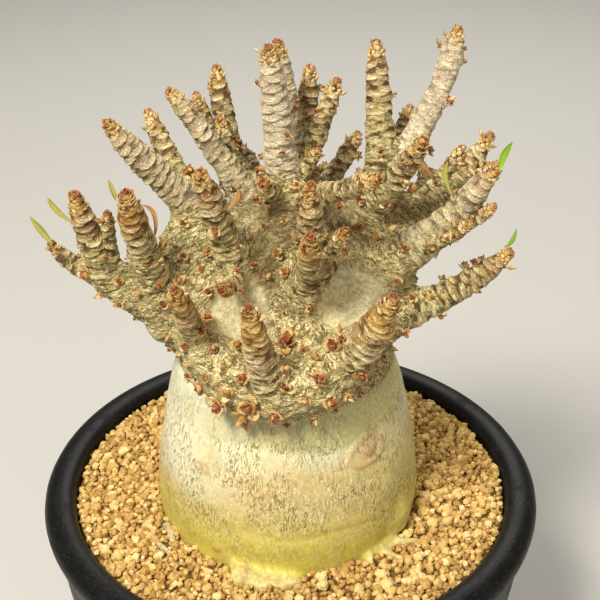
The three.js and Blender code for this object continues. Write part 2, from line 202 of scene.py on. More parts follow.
def hashed(cell, seed):
    """A number from 0 to 1 for each whole-number cell [x, y, z]."""
    mixed = cell[..., 0] * 374761393 + cell[..., 1] * 668265263 + cell[..., 2] * 1442695041
    mixed = (mixed + seed * 1274126177) & 0xFFFFFFFF
    mixed = ((mixed ^ (mixed >> 13)) * 1274126177) & 0xFFFFFFFF
    return ((mixed ^ (mixed >> 16)) & 0xFFFF) / 65535.0


def noise(points, size, seed=0):
    """Smooth noise from -1 to 1 at points in metres, with features of the given size."""
    scaled = points / size
    low = np.floor(scaled).astype(np.int64)
    share = scaled - low
    share = share * share * (3 - 2 * share)
    total = np.zeros(len(points))
    for corner in itertools.product((0, 1), repeat=3):
        weight = np.prod(np.where(np.array(corner, bool), share, 1 - share), axis=-1)
        total += weight * hashed(low + np.array(corner), seed)
    return 2 * total - 1


def vertex_rows(mesh, key):
    flat = np.empty(len(mesh.vertices) * 3)
    mesh.vertices.foreach_get(key, flat)
    return flat.reshape(-1, 3)


def points_of(mesh):
    return vertex_rows(mesh, "co")


def normals_of(mesh):
    return vertex_rows(mesh, "normal")


def move_points(mesh, points):
    mesh.vertices.foreach_set("co", points.ravel())
    mesh.update()


def set_values(mesh, name, values):
    """Stores one number for each vertex, for the materials to read."""
    layer = mesh.attributes.new(name, "FLOAT", "POINT")
    layer.data.foreach_set("value", np.asarray(values, float))


def set_vectors(mesh, name, values):
    """Stores one vector for each vertex, for the materials to read."""
    layer = mesh.attributes.new(name, "FLOAT_VECTOR", "POINT")
    layer.data.foreach_set("vector", np.asarray(values, float).ravel())


def relax(mesh, amount, rounds):
    """Moves each vertex toward the middle of its neighbours, by its own amount."""
    edges = np.empty(len(mesh.edges) * 2, int)
    mesh.edges.foreach_get("vertices", edges)
    a, b = edges.reshape(-1, 2).T
    points = points_of(mesh)
    count = np.bincount(a, minlength=len(points)) + np.bincount(b, minlength=len(points))
    for _ in range(rounds):
        total = np.empty_like(points)
        for axis in range(3):
            total[:, axis] = (np.bincount(a, points[b, axis], len(points))
                              + np.bincount(b, points[a, axis], len(points)))
        points += (total / count[:, None] - points) * amount[:, None]
    move_points(mesh, points)


def square_to(axis):
    """A unit direction at right angles to an axis."""
    aside = np.cross(axis, (0, 0, 1.0) if abs(axis[2]) < 0.9 else (1.0, 0, 0))
    return aside / np.linalg.norm(aside)


def around(side, other, turn):
    """The direction that lies at a turn from one sideways direction toward another."""
    return side * math.cos(turn) + other * math.sin(turn)


# ---------------------------------------------------------------- pieces
def new_mesh(name, bm):
    """Turns a bmesh into a mesh with its faces outwards."""
    bmesh.ops.recalc_face_normals(bm, faces=bm.faces[:])
    mesh = bpy.data.meshes.new(name)
    bm.to_mesh(mesh)
    bm.free()
    return mesh


def link(name, data):
    """A new object in the scene."""
    thing = bpy.data.objects.new(name, data)
    bpy.context.scene.collection.objects.link(thing)
    return thing


def evaluated_mesh(thing):
    """The mesh of an object after its modifiers."""
    seen = thing.evaluated_get(bpy.context.evaluated_depsgraph_get())
    return bpy.data.meshes.new_from_object(seen)


def merged(mesh):
    """A bmesh of a CAD mesh with its loose triangles joined."""
    bm = bmesh.new()
    bm.from_mesh(mesh)
    bmesh.ops.remove_doubles(bm, verts=bm.verts[:], dist=MERGE)
    return bm


def cut_and_close(bm, place, direction, **dropped):
    """Cuts a closed bmesh at a plane, drops one side of it and closes the cut."""
    cut = bmesh.ops.bisect_plane(bm, geom=bm.verts[:] + bm.edges[:] + bm.faces[:],
                                 dist=CUT_SLACK, plane_co=place, plane_no=direction, **dropped)
    rim = [e for e in cut["geom_cut"] if isinstance(e, bmesh.types.BMEdge)]
    bmesh.ops.contextual_create(bm, geom=rim)


def add_piece(name, mesh, material, nodes=(), smooth=True):
    """Puts a finished mesh in the scene as a piece of the plant that rides on its root."""
    piece = link(name, mesh)
    mesh.materials.clear()
    mesh.materials.append(material)
    mesh.polygons.foreach_set("use_smooth", [smooth] * len(mesh.polygons))
    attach(piece, "root")
    if nodes:
        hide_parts(*nodes)
    return piece


def trimmed(mesh, bottom):
    """A closed copy of what a mesh has above a height."""
    bm = merged(mesh)
    cut_and_close(bm, (0, 0, bottom), (0, 0, 1), clear_inner=True)
    return new_mesh(mesh.name, bm)


def remeshed(name, mesh, voxel):
    """A copy of a closed mesh as one even mesh."""
    source = link(name + "_source", new_mesh(name + "_source", merged(mesh)))
    grid = source.modifiers.new("grid", "REMESH")
    grid.mode = "VOXEL"
    grid.voxel_size = voxel
    mesh = evaluated_mesh(source)
    mesh.name = name
    bpy.data.objects.remove(source)
    return mesh


def scatter(name, template, matrices, values):
    """One mesh of many placed copies of a template; values holds numbers for each copy."""
    corners = points_of(template)
    homogeneous = np.c_[corners, np.ones(len(corners))]
    placed = np.einsum("nij,vj->nvi", matrices, homogeneous)[..., :3].reshape(-1, 3)
    sides = [tuple(p.vertices) for p in template.polygons]
    faces = [tuple(v + start for v in side)
             for start in range(0, len(placed), len(corners)) for side in sides]
    mesh = bpy.data.meshes.new(name)
    mesh.from_pydata(placed, [], faces)
    mesh.update()
    for key, each in values.items():
        set_values(mesh, key, np.repeat(each, len(corners)))
    set_values(mesh, "height", np.tile(corners[:, 2], len(matrices)))
    return mesh


# ---------------------------------------------------------------- materials
class Recipe:
    """A material under construction; each method adds one node and returns its output."""

    def __init__(self, name, roughness=0.6, specular=0.5):
        self.material = bpy.data.materials.new(name)
        self.material.use_nodes = True
        self.tree = self.material.node_tree
        self.shader = self.tree.nodes["Principled BSDF"]
        self.shader.inputs["Roughness"].default_value = roughness
        self.shader.inputs["Specular IOR Level"].default_value = specular
        self.place = self.add("ShaderNodeTexCoord").outputs["Object"]

    def add(self, kind, **settings):
        node = self.tree.nodes.new(kind)
        for key, value in settings.items():
            setattr(node, key, value)
        return node

    def feed(self, socket, value):
        if isinstance(value, bpy.types.NodeSocket):
            self.tree.links.new(value, socket)
        elif hasattr(value, "__len__"):
            socket.default_value = (*value, 1.0)[:len(socket.default_value)]
        else:
            socket.default_value = value

    def noise(self, size, detail=3.0, vector=None, rough=0.55, twist=0.0):
        node = self.add("ShaderNodeTexNoise")
        node.inputs["Distortion"].default_value = twist
        self.feed(node.inputs["Vector"], vector or self.place)
        node.inputs["Scale"].default_value = 1 / size
        node.inputs["Detail"].default_value = detail
        node.inputs["Roughness"].default_value = rough
        return node.outputs["Fac"]

    def cells(self, size):
        node = self.add("ShaderNodeTexVoronoi", feature="F1")
        self.feed(node.inputs["Vector"], self.place)
        node.inputs["Scale"].default_value = 1 / size
        return node.outputs["Distance"]

    def value(self, name):
        return self.add("ShaderNodeAttribute", attribute_name=name).outputs["Fac"]

    def vector(self, name):
        return self.add("ShaderNodeAttribute", attribute_name=name).outputs["Vector"]

    def axis(self, letter):
        node = self.add("ShaderNodeSeparateXYZ")
        self.feed(node.inputs[0], self.place)
        return node.outputs[letter]

    def math(self, operation, a, b=0.0):
        node = self.add("ShaderNodeMath", operation=operation)
        for socket, value in zip(node.inputs, (a, b)):
            self.feed(socket, value)
        return node.outputs[0]

    def times(self, a, b):
        return self.math("MULTIPLY", a, b)

    def plus(self, a, b):
        return self.math("ADD", a, b)

    def minus(self, a, b):
        return self.math("SUBTRACT", a, b)

    def line(self, value, middle, core, edge):
        """1 where a value is within the core's distance of a middle one, 0 past the edge's."""
        return self.spread(self.math("ABSOLUTE", self.minus(value, middle)), core, edge, 1.0, 0.0)

    def spread(self, value, low, high, to_low=0.0, to_high=1.0, kind="SMOOTHSTEP"):
        node = self.add("ShaderNodeMapRange", interpolation_type=kind)
        for socket, each in zip(node.inputs, (value, low, high, to_low, to_high)):
            self.feed(socket, each)
        return node.outputs[0]

    def mix(self, share, a, b):
        node = self.add("ShaderNodeMix", data_type="RGBA")
        self.feed(node.inputs["Factor"], share)
        self.feed(node.inputs[6], a)
        self.feed(node.inputs[7], b)
        return node.outputs[2]

    def tint(self, base, colour, mask, share):
        """Lets a colour in over a base where a mask is high, up to a share of it."""
        return self.mix(self.times(mask, share), base, colour)

    def ramp(self, value, *stops):
        node = self.add("ShaderNodeValToRGB")
        self.feed(node.inputs[0], value)
        marks = node.color_ramp.elements
        while len(marks) < len(stops):
            marks.new(0.5)
        for mark, (position, colour) in zip(marks, stops):
            mark.position = position
            mark.color = (*colour, 1.0)
        return node.outputs["Color"]

    def bump(self, height, depth, strength=1.0):
        node = self.add("ShaderNodeBump")
        node.inputs["Strength"].default_value = strength
        node.inputs["Distance"].default_value = depth
        self.feed(node.inputs["Height"], height)
        previous = self.shader.inputs["Normal"]
        if previous.is_linked:
            self.feed(node.inputs["Normal"], previous.links[0].from_socket)
        self.feed(previous, node.outputs["Normal"])

    def finish(self, colour, roughness=None):
        self.feed(self.shader.inputs["Base Color"], colour)
        if roughness is not None:
            self.feed(self.shader.inputs["Roughness"], roughness)
        return self.material


def toned(colour, factor):
    return tuple(min(1.0, c * factor) for c in colour)


def pot_finish(settings):
    """Matt black with a fine sandy speckle and pale dust in its pores."""
    r = Recipe("pot_black", 0.5, 0.18)
    speckle = r.spread(r.noise(0.45 * MM, 2), 0.60, 0.72)
    dust = r.spread(r.noise(9 * MM, 4), 0.45, 0.75)
    worn = r.mix(dust, toned(settings.colour, 0.7), toned(settings.colour, 1.5))
    colour = r.tint(worn, (0.09, 0.085, 0.075), speckle, 0.55)
    r.bump(r.noise(0.55 * MM, 3), 0.09 * MM, 0.8)
    r.bump(r.noise(4 * MM, 2), 0.12 * MM, 0.5)
    return r.finish(colour, r.spread(dust, 0, 1, 0.42, 0.62))


def granule_finish(settings):
    """Porous fired clay, each granule with a tone of its own."""
    r = Recipe("clay_granules", 0.9, 0.25)
    tone = r.value("tone")
    base = r.ramp(tone, (0.0, toned(settings.dark, 0.75)), (0.2, settings.dark),
                  (0.55, (0.68, 0.45, 0.15)), (0.85, settings.pale), (1.0, (0.88, 0.74, 0.42)))
    mottle = r.spread(r.noise(0.7 * MM, 3), 0.35, 0.68)
    colour = r.tint(base, toned(settings.pale, 1.05), mottle, 0.45)
    pits = r.spread(r.cells(0.42 * MM), 0.05, 0.35)
    colour = r.mix(r.spread(pits, 0, 1, 0.40, 0), colour, toned(settings.dark, 0.5))
    r.bump(pits, 0.12 * MM, 0.7)
    r.bump(r.noise(0.30 * MM, 3), 0.10 * MM, 0.7)
    return r.finish(colour)


def bed_finish(settings):
    """The shaded clay between the granules."""
    r = Recipe("clay_bed", 0.95, 0.2)
    grit = r.spread(r.cells(1.3 * MM), 0.1, 0.6)
    colour = r.mix(grit, toned(settings.dark, 0.5), toned(settings.dark, 0.2))
    colour = r.tint(colour, toned(settings.dark, 0.9), r.noise(0.5 * MM, 3), 0.35)
    r.bump(r.minus(1.0, grit), 0.6 * MM, 0.8)
    return r.finish(colour)


def trunk_finish(settings):
    """Smooth skin in bands of green, cream and grey green, with fine dark cracks, a painted
    highlight on the left of its middle and painted shade on its right.
    """
    r = Recipe("trunk_bark", 0.42, 0.45)
    height = r.plus(r.axis("Z"), r.times(r.noise(18 * MM, 2), 9 * MM))
    share = r.spread(height, SOIL_TOP + 4.5 * MM, SHOULDER + 8 * MM, kind="LINEAR")
    cream, grey = settings.middle_colour, settings.upper_colour
    skin = r.ramp(share,
                  (0.0, toned(settings.base_colour, 1.05)),
                  (0.16, settings.base_colour),
                  (0.31, (0.66, 0.54, 0.14)),
                  (0.46, toned(cream, 0.90)),
                  (0.60, (0.64, 0.50, 0.22)),
                  (0.71, (0.78, 0.74, 0.46)),
                  (0.75, (0.84, 0.82, 0.56)),
                  (0.79, grey),
                  (0.90, toned(grey, 0.85)),
                  (1.0, toned(grey, 1.1)))
    # painted highlight: the left side at middle height, toward the key light, is tinted a pale
    # cream
    left = r.spread(r.axis("X"), -6 * MM, -34 * MM)
    left = r.times(left, r.spread(share, 0.34, 0.52))
    skin = r.tint(skin, (0.94, 0.97, 0.76), left, 0.65)
    # painted shade: the right side, away from the key light, is tinted a darker saturated yellow
    right = r.spread(r.axis("X"), 6 * MM, 34 * MM)
    skin = r.tint(skin, (0.64, 0.54, 0.12), right, 0.56)
    blotch = r.spread(r.noise(7 * MM, 4), 0.38, 0.66)
    skin = r.tint(skin, (0.60, 0.44, 0.17), blotch, 0.35)
    olive = r.spread(r.noise(12 * MM, 3), 0.50, 0.68)
    skin = r.tint(skin, (0.40, 0.37, 0.10), olive, 0.25)
    mottle = r.spread(r.noise(1.1 * MM, 4), 0.42, 0.62)
    skin = r.tint(skin, (0.90, 0.84, 0.50), mottle, 0.22)
    ripple = r.noise(1.0, 4, r.vector("grain"), 0.62, 1.3)
    middle = r.times(r.spread(share, 0.05, 0.40, 0.25, 1.0), r.spread(share, 0.74, 0.90, 1.0, 0.45))
    patches = r.times(r.spread(r.noise(9 * MM, 2), 0.36, 0.62, 0.10, 1.0), middle)
    cracks = r.times(r.spread(ripple, 0.54, 0.62), patches)
    skin = r.tint(skin, (0.40, 0.29, 0.085), cracks, 0.60)
    deep = r.times(r.spread(ripple, 0.60, 0.66), patches)
    skin = r.tint(skin, (0.17, 0.12, 0.045), deep, 0.75)
    pale = r.spread(ripple, 0.34, 0.44, 1.0, 0.0)
    skin = r.tint(skin, (0.95, 0.90, 0.66), r.times(pale, 0.6), middle)
    wood = r.mix(r.spread(r.noise(1.4 * MM, 4), 0.40, 0.62),
                 (0.56, 0.44, 0.17), (0.76, 0.66, 0.31))
    skin = r.tint(skin, wood, r.value("root"), 0.85)
    colour = r.tint(skin, (0.58, 0.33, 0.12), r.value("scar"), 0.85)
    r.bump(r.minus(1.0, cracks), 0.32 * MM, 0.9)
    r.bump(r.noise(0.9 * MM, 4), 0.12 * MM, 0.6)
    return r.finish(colour)


def bark_finish(name, settings, lines=1.0):
    """Wrinkled bark: grey and cream when old, golden near the growing tips. Low places are darker
    and high ones cream, partly the bark's own colours and partly painted shade and painted
    highlight.

    Lines is the strength of the thin painted highlight lines on the wrinkles' crests and the thin
    painted shade lines at their feet.
    """
    r = Recipe(name, 0.55, 0.4)
    relief, tone = r.value("relief"), r.value("tone")
    wander = r.times(r.minus(r.noise(3.5 * MM, 3), 0.5), 0.55)
    drift = r.plus(r.value("along"), wander)
    grain = r.vector("grain")
    wrinkle, fine = r.noise(1.0, 3, grain, 0.5, 0.7), r.noise(0.4, 2, grain)
    lift = r.plus(r.times(relief, 0.72), r.times(wrinkle, 0.95))
    lift = r.plus(r.minus(lift, 0.43), r.times(r.minus(fine, 0.5), 0.5))
    low = r.ramp(drift, (0.0, toned(settings.crevice_and_shade, 0.7)), (0.5, settings.crevice_and_shade),
                 (1.0, (0.27, 0.085, 0.018)))
    middle = r.ramp(drift, (0.0, settings.grey), (0.35, toned(settings.grey, 1.2)),
                    (0.62, (0.54, 0.38, 0.17)), (0.85, settings.gold),
                    (1.0, toned(settings.gold, 0.8)))
    high = r.ramp(drift, (0.0, toned(settings.cream, 0.9)), (0.35, settings.cream),
                  (0.75, (0.92, 0.80, 0.50)), (1.0, (0.88, 0.62, 0.26)))
    green = r.spread(r.noise(6 * MM, 2), 0.48, 0.64)
    middle = r.tint(middle, (0.38, 0.37, 0.12), green, 0.35)
    brown = r.spread(r.noise(8 * MM, 2), 0.52, 0.68)
    middle = r.tint(middle, (0.36, 0.22, 0.10), brown, 0.25)
    # dark in the low places and cream on the high ones: partly the bark's own colours, partly
    # painted shade in the folds and painted highlight on the ridges
    colour = r.mix(r.spread(lift, 0.10, 0.30), low, middle)
    colour = r.mix(r.spread(lift, 0.33, 0.58), colour, high)
    # painted highlight along the wrinkles' crests, painted shade along their feet
    colour = r.tint(colour, high, r.line(wrinkle, 0.565, 0.015, 0.05), 0.90 * lines)
    colour = r.tint(colour, low, r.line(wrinkle, 0.485, 0.012, 0.05), 0.85 * lines)
    # cream on the scars' raised lips and dark in the gaps below them: partly their own colours,
    # partly painted highlight and painted shade
    lip = r.spread(relief, 0.55, 0.90)
    colour = r.tint(colour, high, lip, 0.80)
    gap = r.spread(relief, 0.06, 0.27, 1.0, 0.0)
    colour = r.tint(colour, low, gap, 0.75)
    # painted shade: the middle of the crown's top is darkened toward the crevice colour
    inner = r.times(r.value("inner"), 0.58)
    colour = r.mix(inner, colour, toned(settings.crevice_and_shade, 1.5))
    pink = r.times(tone, r.spread(lift, 0.04, 0.28, 0.35, 0.80))
    colour = r.mix(pink, colour, (0.92, 0.80, 0.58))
    skin = r.mix(r.spread(r.noise(1.2 * MM, 4), 0.40, 0.62),
                 (0.58, 0.51, 0.29), (0.78, 0.70, 0.44))
    skin = r.mix(r.spread(wrinkle, 0.58, 0.70, 0.0, 0.5), skin, (0.28, 0.23, 0.11))
    colour = r.mix(r.value("cover"), skin, colour)
    step = r.minus(r.spread(wrinkle, 0.48, 0.565), r.spread(wrinkle, 0.60, 0.74, 0.0, 0.8))
    bumps = r.plus(step, r.times(fine, 0.5))
    depth = r.spread(r.value("cover"), 0, 1, 0.25, 1.0)
    r.bump(r.times(bumps, depth), 0.46 * MM, 1.0)
    r.bump(r.noise(0.5 * MM, 3), 0.08 * MM, 0.5)
    return r.finish(colour, r.spread(lift, 0, 1, 0.75, 0.42))


def bud_finish(settings):
    """Scales from dark red through orange brown to pale gold, darker toward their points."""
    r = Recipe("bud_scales", 0.45, 0.45)
    shade, height = r.value("shade"), r.value("height")
    base = r.ramp(shade,
                  (0.0, toned(settings.red, 0.7)),
                  (0.22, settings.red),
                  (0.42, (0.25, 0.065, 0.025)),
                  (0.62, settings.brown),
                  (0.80, (0.62, 0.37, 0.085)),
                  (1.0, (0.84, 0.66, 0.32)))
    colour = r.mix(r.spread(height, 0.55, 1.0, 0.0, 0.45), base, (0.28, 0.09, 0.03))
    streak = r.spread(r.noise(0.4 * MM, 3), 0.45, 0.66)
    colour = r.tint(colour, (0.86, 0.64, 0.30), streak, 0.45)
    dark = r.spread(r.noise(0.9 * MM, 3), 0.52, 0.66)
    colour = r.tint(colour, (0.13, 0.045, 0.02), dark, 0.60)
    r.bump(r.noise(0.3 * MM, 3), 0.12 * MM, 0.7)
    return r.finish(colour)


def leaf_finish(name, colour, edge):
    """A leaf with a paler midrib and an edge of its own colour."""
    r = Recipe(name, 0.42, 0.5)
    across, along = r.value("across"), r.value("along")
    rib = r.spread(across, 0.0, 0.16, 1.0, 0.0)
    body = r.mix(r.spread(across, 0.6, 1.0), colour, edge)
    body = r.mix(r.spread(along, 0.0, 0.25, 0.6, 0.0), body, edge)
    mottle = r.spread(r.noise(0.8 * MM, 3), 0.4, 0.7)
    body = r.tint(body, toned(colour, 0.6), mottle, 0.3)
    body = r.tint(body, toned(colour, 1.8), rib, 0.45)
    r.bump(r.noise(0.5 * MM, 3), 0.08 * MM, 0.6)
    r.shader.inputs["Subsurface Weight"].default_value = 0.15
    r.shader.inputs["Subsurface Radius"].default_value = (0.001, 0.001, 0.0005)
    return r.finish(body)


def root_finish():
    """Pale thin root bark."""
    r = Recipe("root_bark", 0.7, 0.3)
    rings = r.spread(r.noise(0.8 * MM, 3), 0.35, 0.7)
    colour = r.mix(rings, (0.40, 0.32, 0.15), (0.74, 0.66, 0.42))
    r.bump(r.noise(0.5 * MM, 3), 0.12 * MM, 0.8)
    return r.finish(colour)


def floor_finish(settings):
    """Plain and matt, a little uneven."""
    r = Recipe("floor_pale", 0.8, 0.2)
    shade = r.noise(60 * MM, 2)
    return r.finish(r.tint(settings.floor_colour, (0.5, 0.5, 0.49), shade, 0.1))


# ---------------------------------------------------------------- pot
def pot_mesh(settings):
    """The bowl as one turned wall, with its drain holes cut through the floor."""
    rim_depth, widest = 11 * MM, 4 * MM
    inner, outer_neck = SOIL_RADIUS, POT_RADIUS - 3 * MM
    foot, floor = settings.foot_radius, settings.wall + 1 * MM
    holes, hole_radius, hole_ring = 5, 5 * MM, 25 * MM

    def bowl(start, belly, end, steps):
        """Points on a curve from start to end that is drawn toward the belly."""
        return [Vector(start).lerp(Vector(belly), t / steps).lerp(
            Vector(belly).lerp(Vector(end), t / steps), t / steps) for t in range(steps + 1)]

    outside = bowl((foot, 2 * MM), (outer_neck - 4 * MM, POT_HEIGHT * 0.22),
                   (outer_neck, POT_HEIGHT - rim_depth), 22)
    # each point of the lip: how far in from the widest circle or out from the soil, and how far
    # below the top as a share of the depth at which the rim is widest
    lip = [(POT_RADIUS - 0.9 * MM, 1.9), (POT_RADIUS - 0.25 * MM, 1.4), (POT_RADIUS, 1),
           (POT_RADIUS - 0.25 * MM, 0.66), (POT_RADIUS - 0.95 * MM, 0.36),
           (POT_RADIUS - 2.2 * MM, 0.12), (POT_RADIUS - 3.8 * MM, 0.01), (inner + 4.0 * MM, 0),
           (inner + 2.4 * MM, 0.08), (inner + 1.2 * MM, 0.25), (inner + 0.45 * MM, 0.5),
           (inner, 0.92)]
    lip = [(reach, POT_HEIGHT - widest * share) for reach, share in lip]
    inside = bowl((foot - settings.wall, floor), (inner - 2 * MM, POT_HEIGHT * 0.22),
                  (inner, POT_HEIGHT - rim_depth), 20)[::-1]
    profile = [(0, 0), (foot - 2 * MM, 0), (foot - 0.6 * MM, 0.5 * MM),
               *outside, *lip, *inside, (0, floor)]
    bm = bmesh.new()
    verts = [bm.verts.new((p[0], 0, p[1])) for p in profile]
    edges = [bm.edges.new(pair) for pair in zip(verts, verts[1:])]
    bmesh.ops.spin(bm, geom=verts + edges, axis=(0, 0, 1), cent=(0, 0, 0), steps=180,
                   angle=2 * math.pi, use_merge=True)
    bmesh.ops.remove_doubles(bm, verts=bm.verts[:], dist=0.01 * MM)
    body = link("pot_body", new_mesh("pot_body", bm))
    drills = bmesh.new()
    for i in range(holes):
        angle = (i + 0.5) / holes * 2 * math.pi
        middle = Matrix.Translation((hole_ring * math.cos(angle), hole_ring * math.sin(angle), 0))
        bmesh.ops.create_cone(drills, cap_ends=True, segments=40, radius1=hole_radius,
                              radius2=hole_radius, depth=floor * 3, matrix=middle)
    drill = link("drain_holes", new_mesh("drain_holes", drills))
    cut = body.modifiers.new("drain", "BOOLEAN")
    cut.operation = "DIFFERENCE"
    cut.solver = "EXACT"
    cut.object = drill
    mesh = evaluated_mesh(body)
    for each in (body, drill):
        bpy.data.objects.remove(each)
    return mesh


class DESERTROSE_OT_pot(bpy.types.Operator):
    """Makes the pot"""
    bl_idname = "desert_rose.pot"
    bl_label = "Pot"

    def execute(self, context):
        settings = context.scene.desert_rose_pot
        pot = add_piece("pot_bowl", pot_mesh(settings), pot_finish(settings),
                        ["pot"])
        pot.data.set_sharp_from_angle(angle=math.radians(40))
        return {"FINISHED"}


# ---------------------------------------------------------------- trunk
def core_radius(height):
    """Radius of the trunk's own round body, without its limbs, at a height in metres."""
    heights = np.array([0, 10, 20, 32, 48, 57.6, 67.2, 75, 78]) * MM
    radii = np.array([38.6, 39, 38, 35.9, 32, 27.3, 19.5, 10.1, 0]) * MM
    return np.interp(height - SOIL_TOP, heights, radii, left=39 * MM, right=-5 * MM)


def from_axis(points):
    """How far points lie from the upright line through the trunk's middle."""
    return np.linalg.norm(points[:, :2] - np.array(TRUNK_AXIS)[:2], axis=1)


def bark_cover(points):
    """How far the limbs' bark reaches down over the smooth trunk, from 0 to 1."""
    outside = from_axis(points) - core_radius(points[:, 2]) + 1.2 * MM * noise(points, 4 * MM, 5)
    cover = smoothstep(0.4 * MM, 2.6 * MM, outside)
    cover = np.maximum(cover, smoothstep(SHOULDER + 1 * MM, SHOULDER + 3 * MM, points[:, 2]))
    return cover * smoothstep(SHOULDER - 10 * MM, SHOULDER - 5 * MM, points[:, 2])


def bare_skin(points):
    """Where the hollows between the front limbs keep their smooth skin, from 0 to 1."""
    bare = np.zeros(len(points))
    for x, y, z, size in VALLEYS:
        middle = np.array(TRUNK_AXIS) + np.array((x * MM, y * MM, SHOULDER + z * MM))
        away = np.linalg.norm(points - middle, axis=1) / (size * MM)
        away += 0.30 * noise(points, 4 * MM, 5) + 0.12 * noise(points, 1.2 * MM, 6)
        bare = np.maximum(bare, smoothstep(1.25, 0.70, away))
    return bare


def growth_grain(points, along, across):
    """Coordinates in which plain noise gives short wrinkles across the way the limbs grow."""
    reach = np.linalg.norm(points[:, :2], axis=1)
    growth = 0.9 * points[:, 2] + 0.65 * reach + 1.6 * MM * noise(points, 7 * MM, 31)
    grain = points / across
    grain[:, 2] += growth / along
    return grain


def choose_bud_sites(points, normals, cover, spacing):
    """Places on the limbs for side buds, each at least the spacing from the others."""
    rng = np.random.default_rng(SEEDS["limb_sites"])
    candidates = np.flatnonzero((cover > 0.9) & (points[:, 2] > SHOULDER - 4 * MM))
    chosen, tries = [], 4000
    for index in rng.permutation(candidates)[:tries]:
        if all(np.linalg.norm(points[index] - points[other]) > spacing for other in chosen):
            chosen.append(index)
    return points[chosen], normals[chosen]


def trunk_mesh(settings):
    """The smooth trunk with its scars and roots, sunk a little where the bark covers it."""
    mesh = remeshed("trunk_skin", frame["nodes"]["trunk"].data, settings.voxel)
    points = points_of(mesh)
    above = smoothstep(SOIL_TOP + 5 * MM, SOIL_TOP + 10 * MM, points[:, 2])
    relax(mesh, 0.10 + 0.40 * above, 16)
    points, normals = points_of(mesh), normals_of(mesh)
    cover = bark_cover(points)
    root = smoothstep(0.2 * MM, 1.6 * MM, from_axis(points) - 38.9 * MM)
    root *= smoothstep(SOIL_TOP + 9 * MM, SOIL_TOP + 5 * MM, points[:, 2])
    waves = 0.55 * MM * noise(points, 15 * MM, 3) + 0.10 * MM * noise(points, 3 * MM, 4)
    wave = 1.4 * MM * noise(points, 14 * MM, 6)
    groove = np.exp(-((points[:, 2] - SOIL_TOP - 14 * MM + wave) / (0.8 * MM)) ** 2)
    groove = 0.20 * MM * groove * smoothstep(-0.2, 0.3, noise(points, 11 * MM, 16))
    sunk = 1.0 * MM * cover
    lift = (1 - cover) * waves - (groove + sunk)
    lift += root * (0.9 * MM * noise(points, 4 * MM, 7) + 0.22 * MM * noise(points, 1.5 * MM, 8))
    scar = np.zeros(len(points))
    front = smoothstep(TRUNK_AXIS.y - 6 * MM, TRUNK_AXIS.y - 12 * MM, points[:, 1])
    for x, z, radius in SKIN_SCARS:
        spot = np.array((TRUNK_AXIS.x + x * MM, 0, SOIL_TOP + z * MM))
        away = np.linalg.norm((points - spot)[:, [0, 2]] * (1.1, 1.25), axis=1) / (radius * MM)
        away += 0.25 * noise(points, radius * MM, 12)
        ring = 0.7 * np.exp(-((away - 0.85) / 0.17) ** 2) + np.exp(-((away - 0.1) / 0.36) ** 2)
        scar = np.maximum(scar, ring * front)
    lift += 0.75 * MM * scar
    move_points(mesh, points + normals * lift[:, None])
    turn = points - np.array(TRUNK_AXIS)
    turn[:, :2] /= np.linalg.norm(turn[:, :2], axis=1)[:, None] + 1e-9
    set_values(mesh, "scar", scar)
    set_values(mesh, "root", root)
    crack_width, crack_length, skin_radius = 0.62 * MM, 1.75 * MM, 38 * MM
    round_it, up = skin_radius / crack_width, 1 / crack_length
    set_vectors(mesh, "grain", turn * (round_it, round_it, up))
    return mesh


def crown_mass(settings, bottom):
    """The limbs with the feet of the stems, every crotch between them filled to a fillet."""
    foot_length, foot_share, foot_depth = 11 * MM, 0.45, 0.8 * MM
    bm = bmesh.new()
    bm.from_mesh(trimmed(frame["nodes"]["trunk"].data, bottom - 2 * MM))
    for node in STEMS:
        spine = Spine(node)
        foot = merged(frame["nodes"][node].data)
        top, along, _, _ = spine.at(spine.start + min(foot_length, foot_share * spine.length))
        cut_and_close(foot, top, along, clear_outer=True)
        bmesh.ops.translate(foot, verts=foot.verts[:], vec=-along * foot_depth)
        bm.from_mesh(new_mesh("foot", foot))
    mesh = new_mesh("crown_mass", bm)
    # grown out and back by the fillet's radius, which leaves the crotches filled
    for step, voxel in ((settings.fillet, 0.9 * MM), (-settings.fillet, 0.7 * MM)):
        mesh = remeshed("crown_mass", mesh, voxel)
        relax(mesh, np.full(len(mesh.vertices), 0.5), 4)
        move_points(mesh, points_of(mesh) + normals_of(mesh) * step)
    return mesh


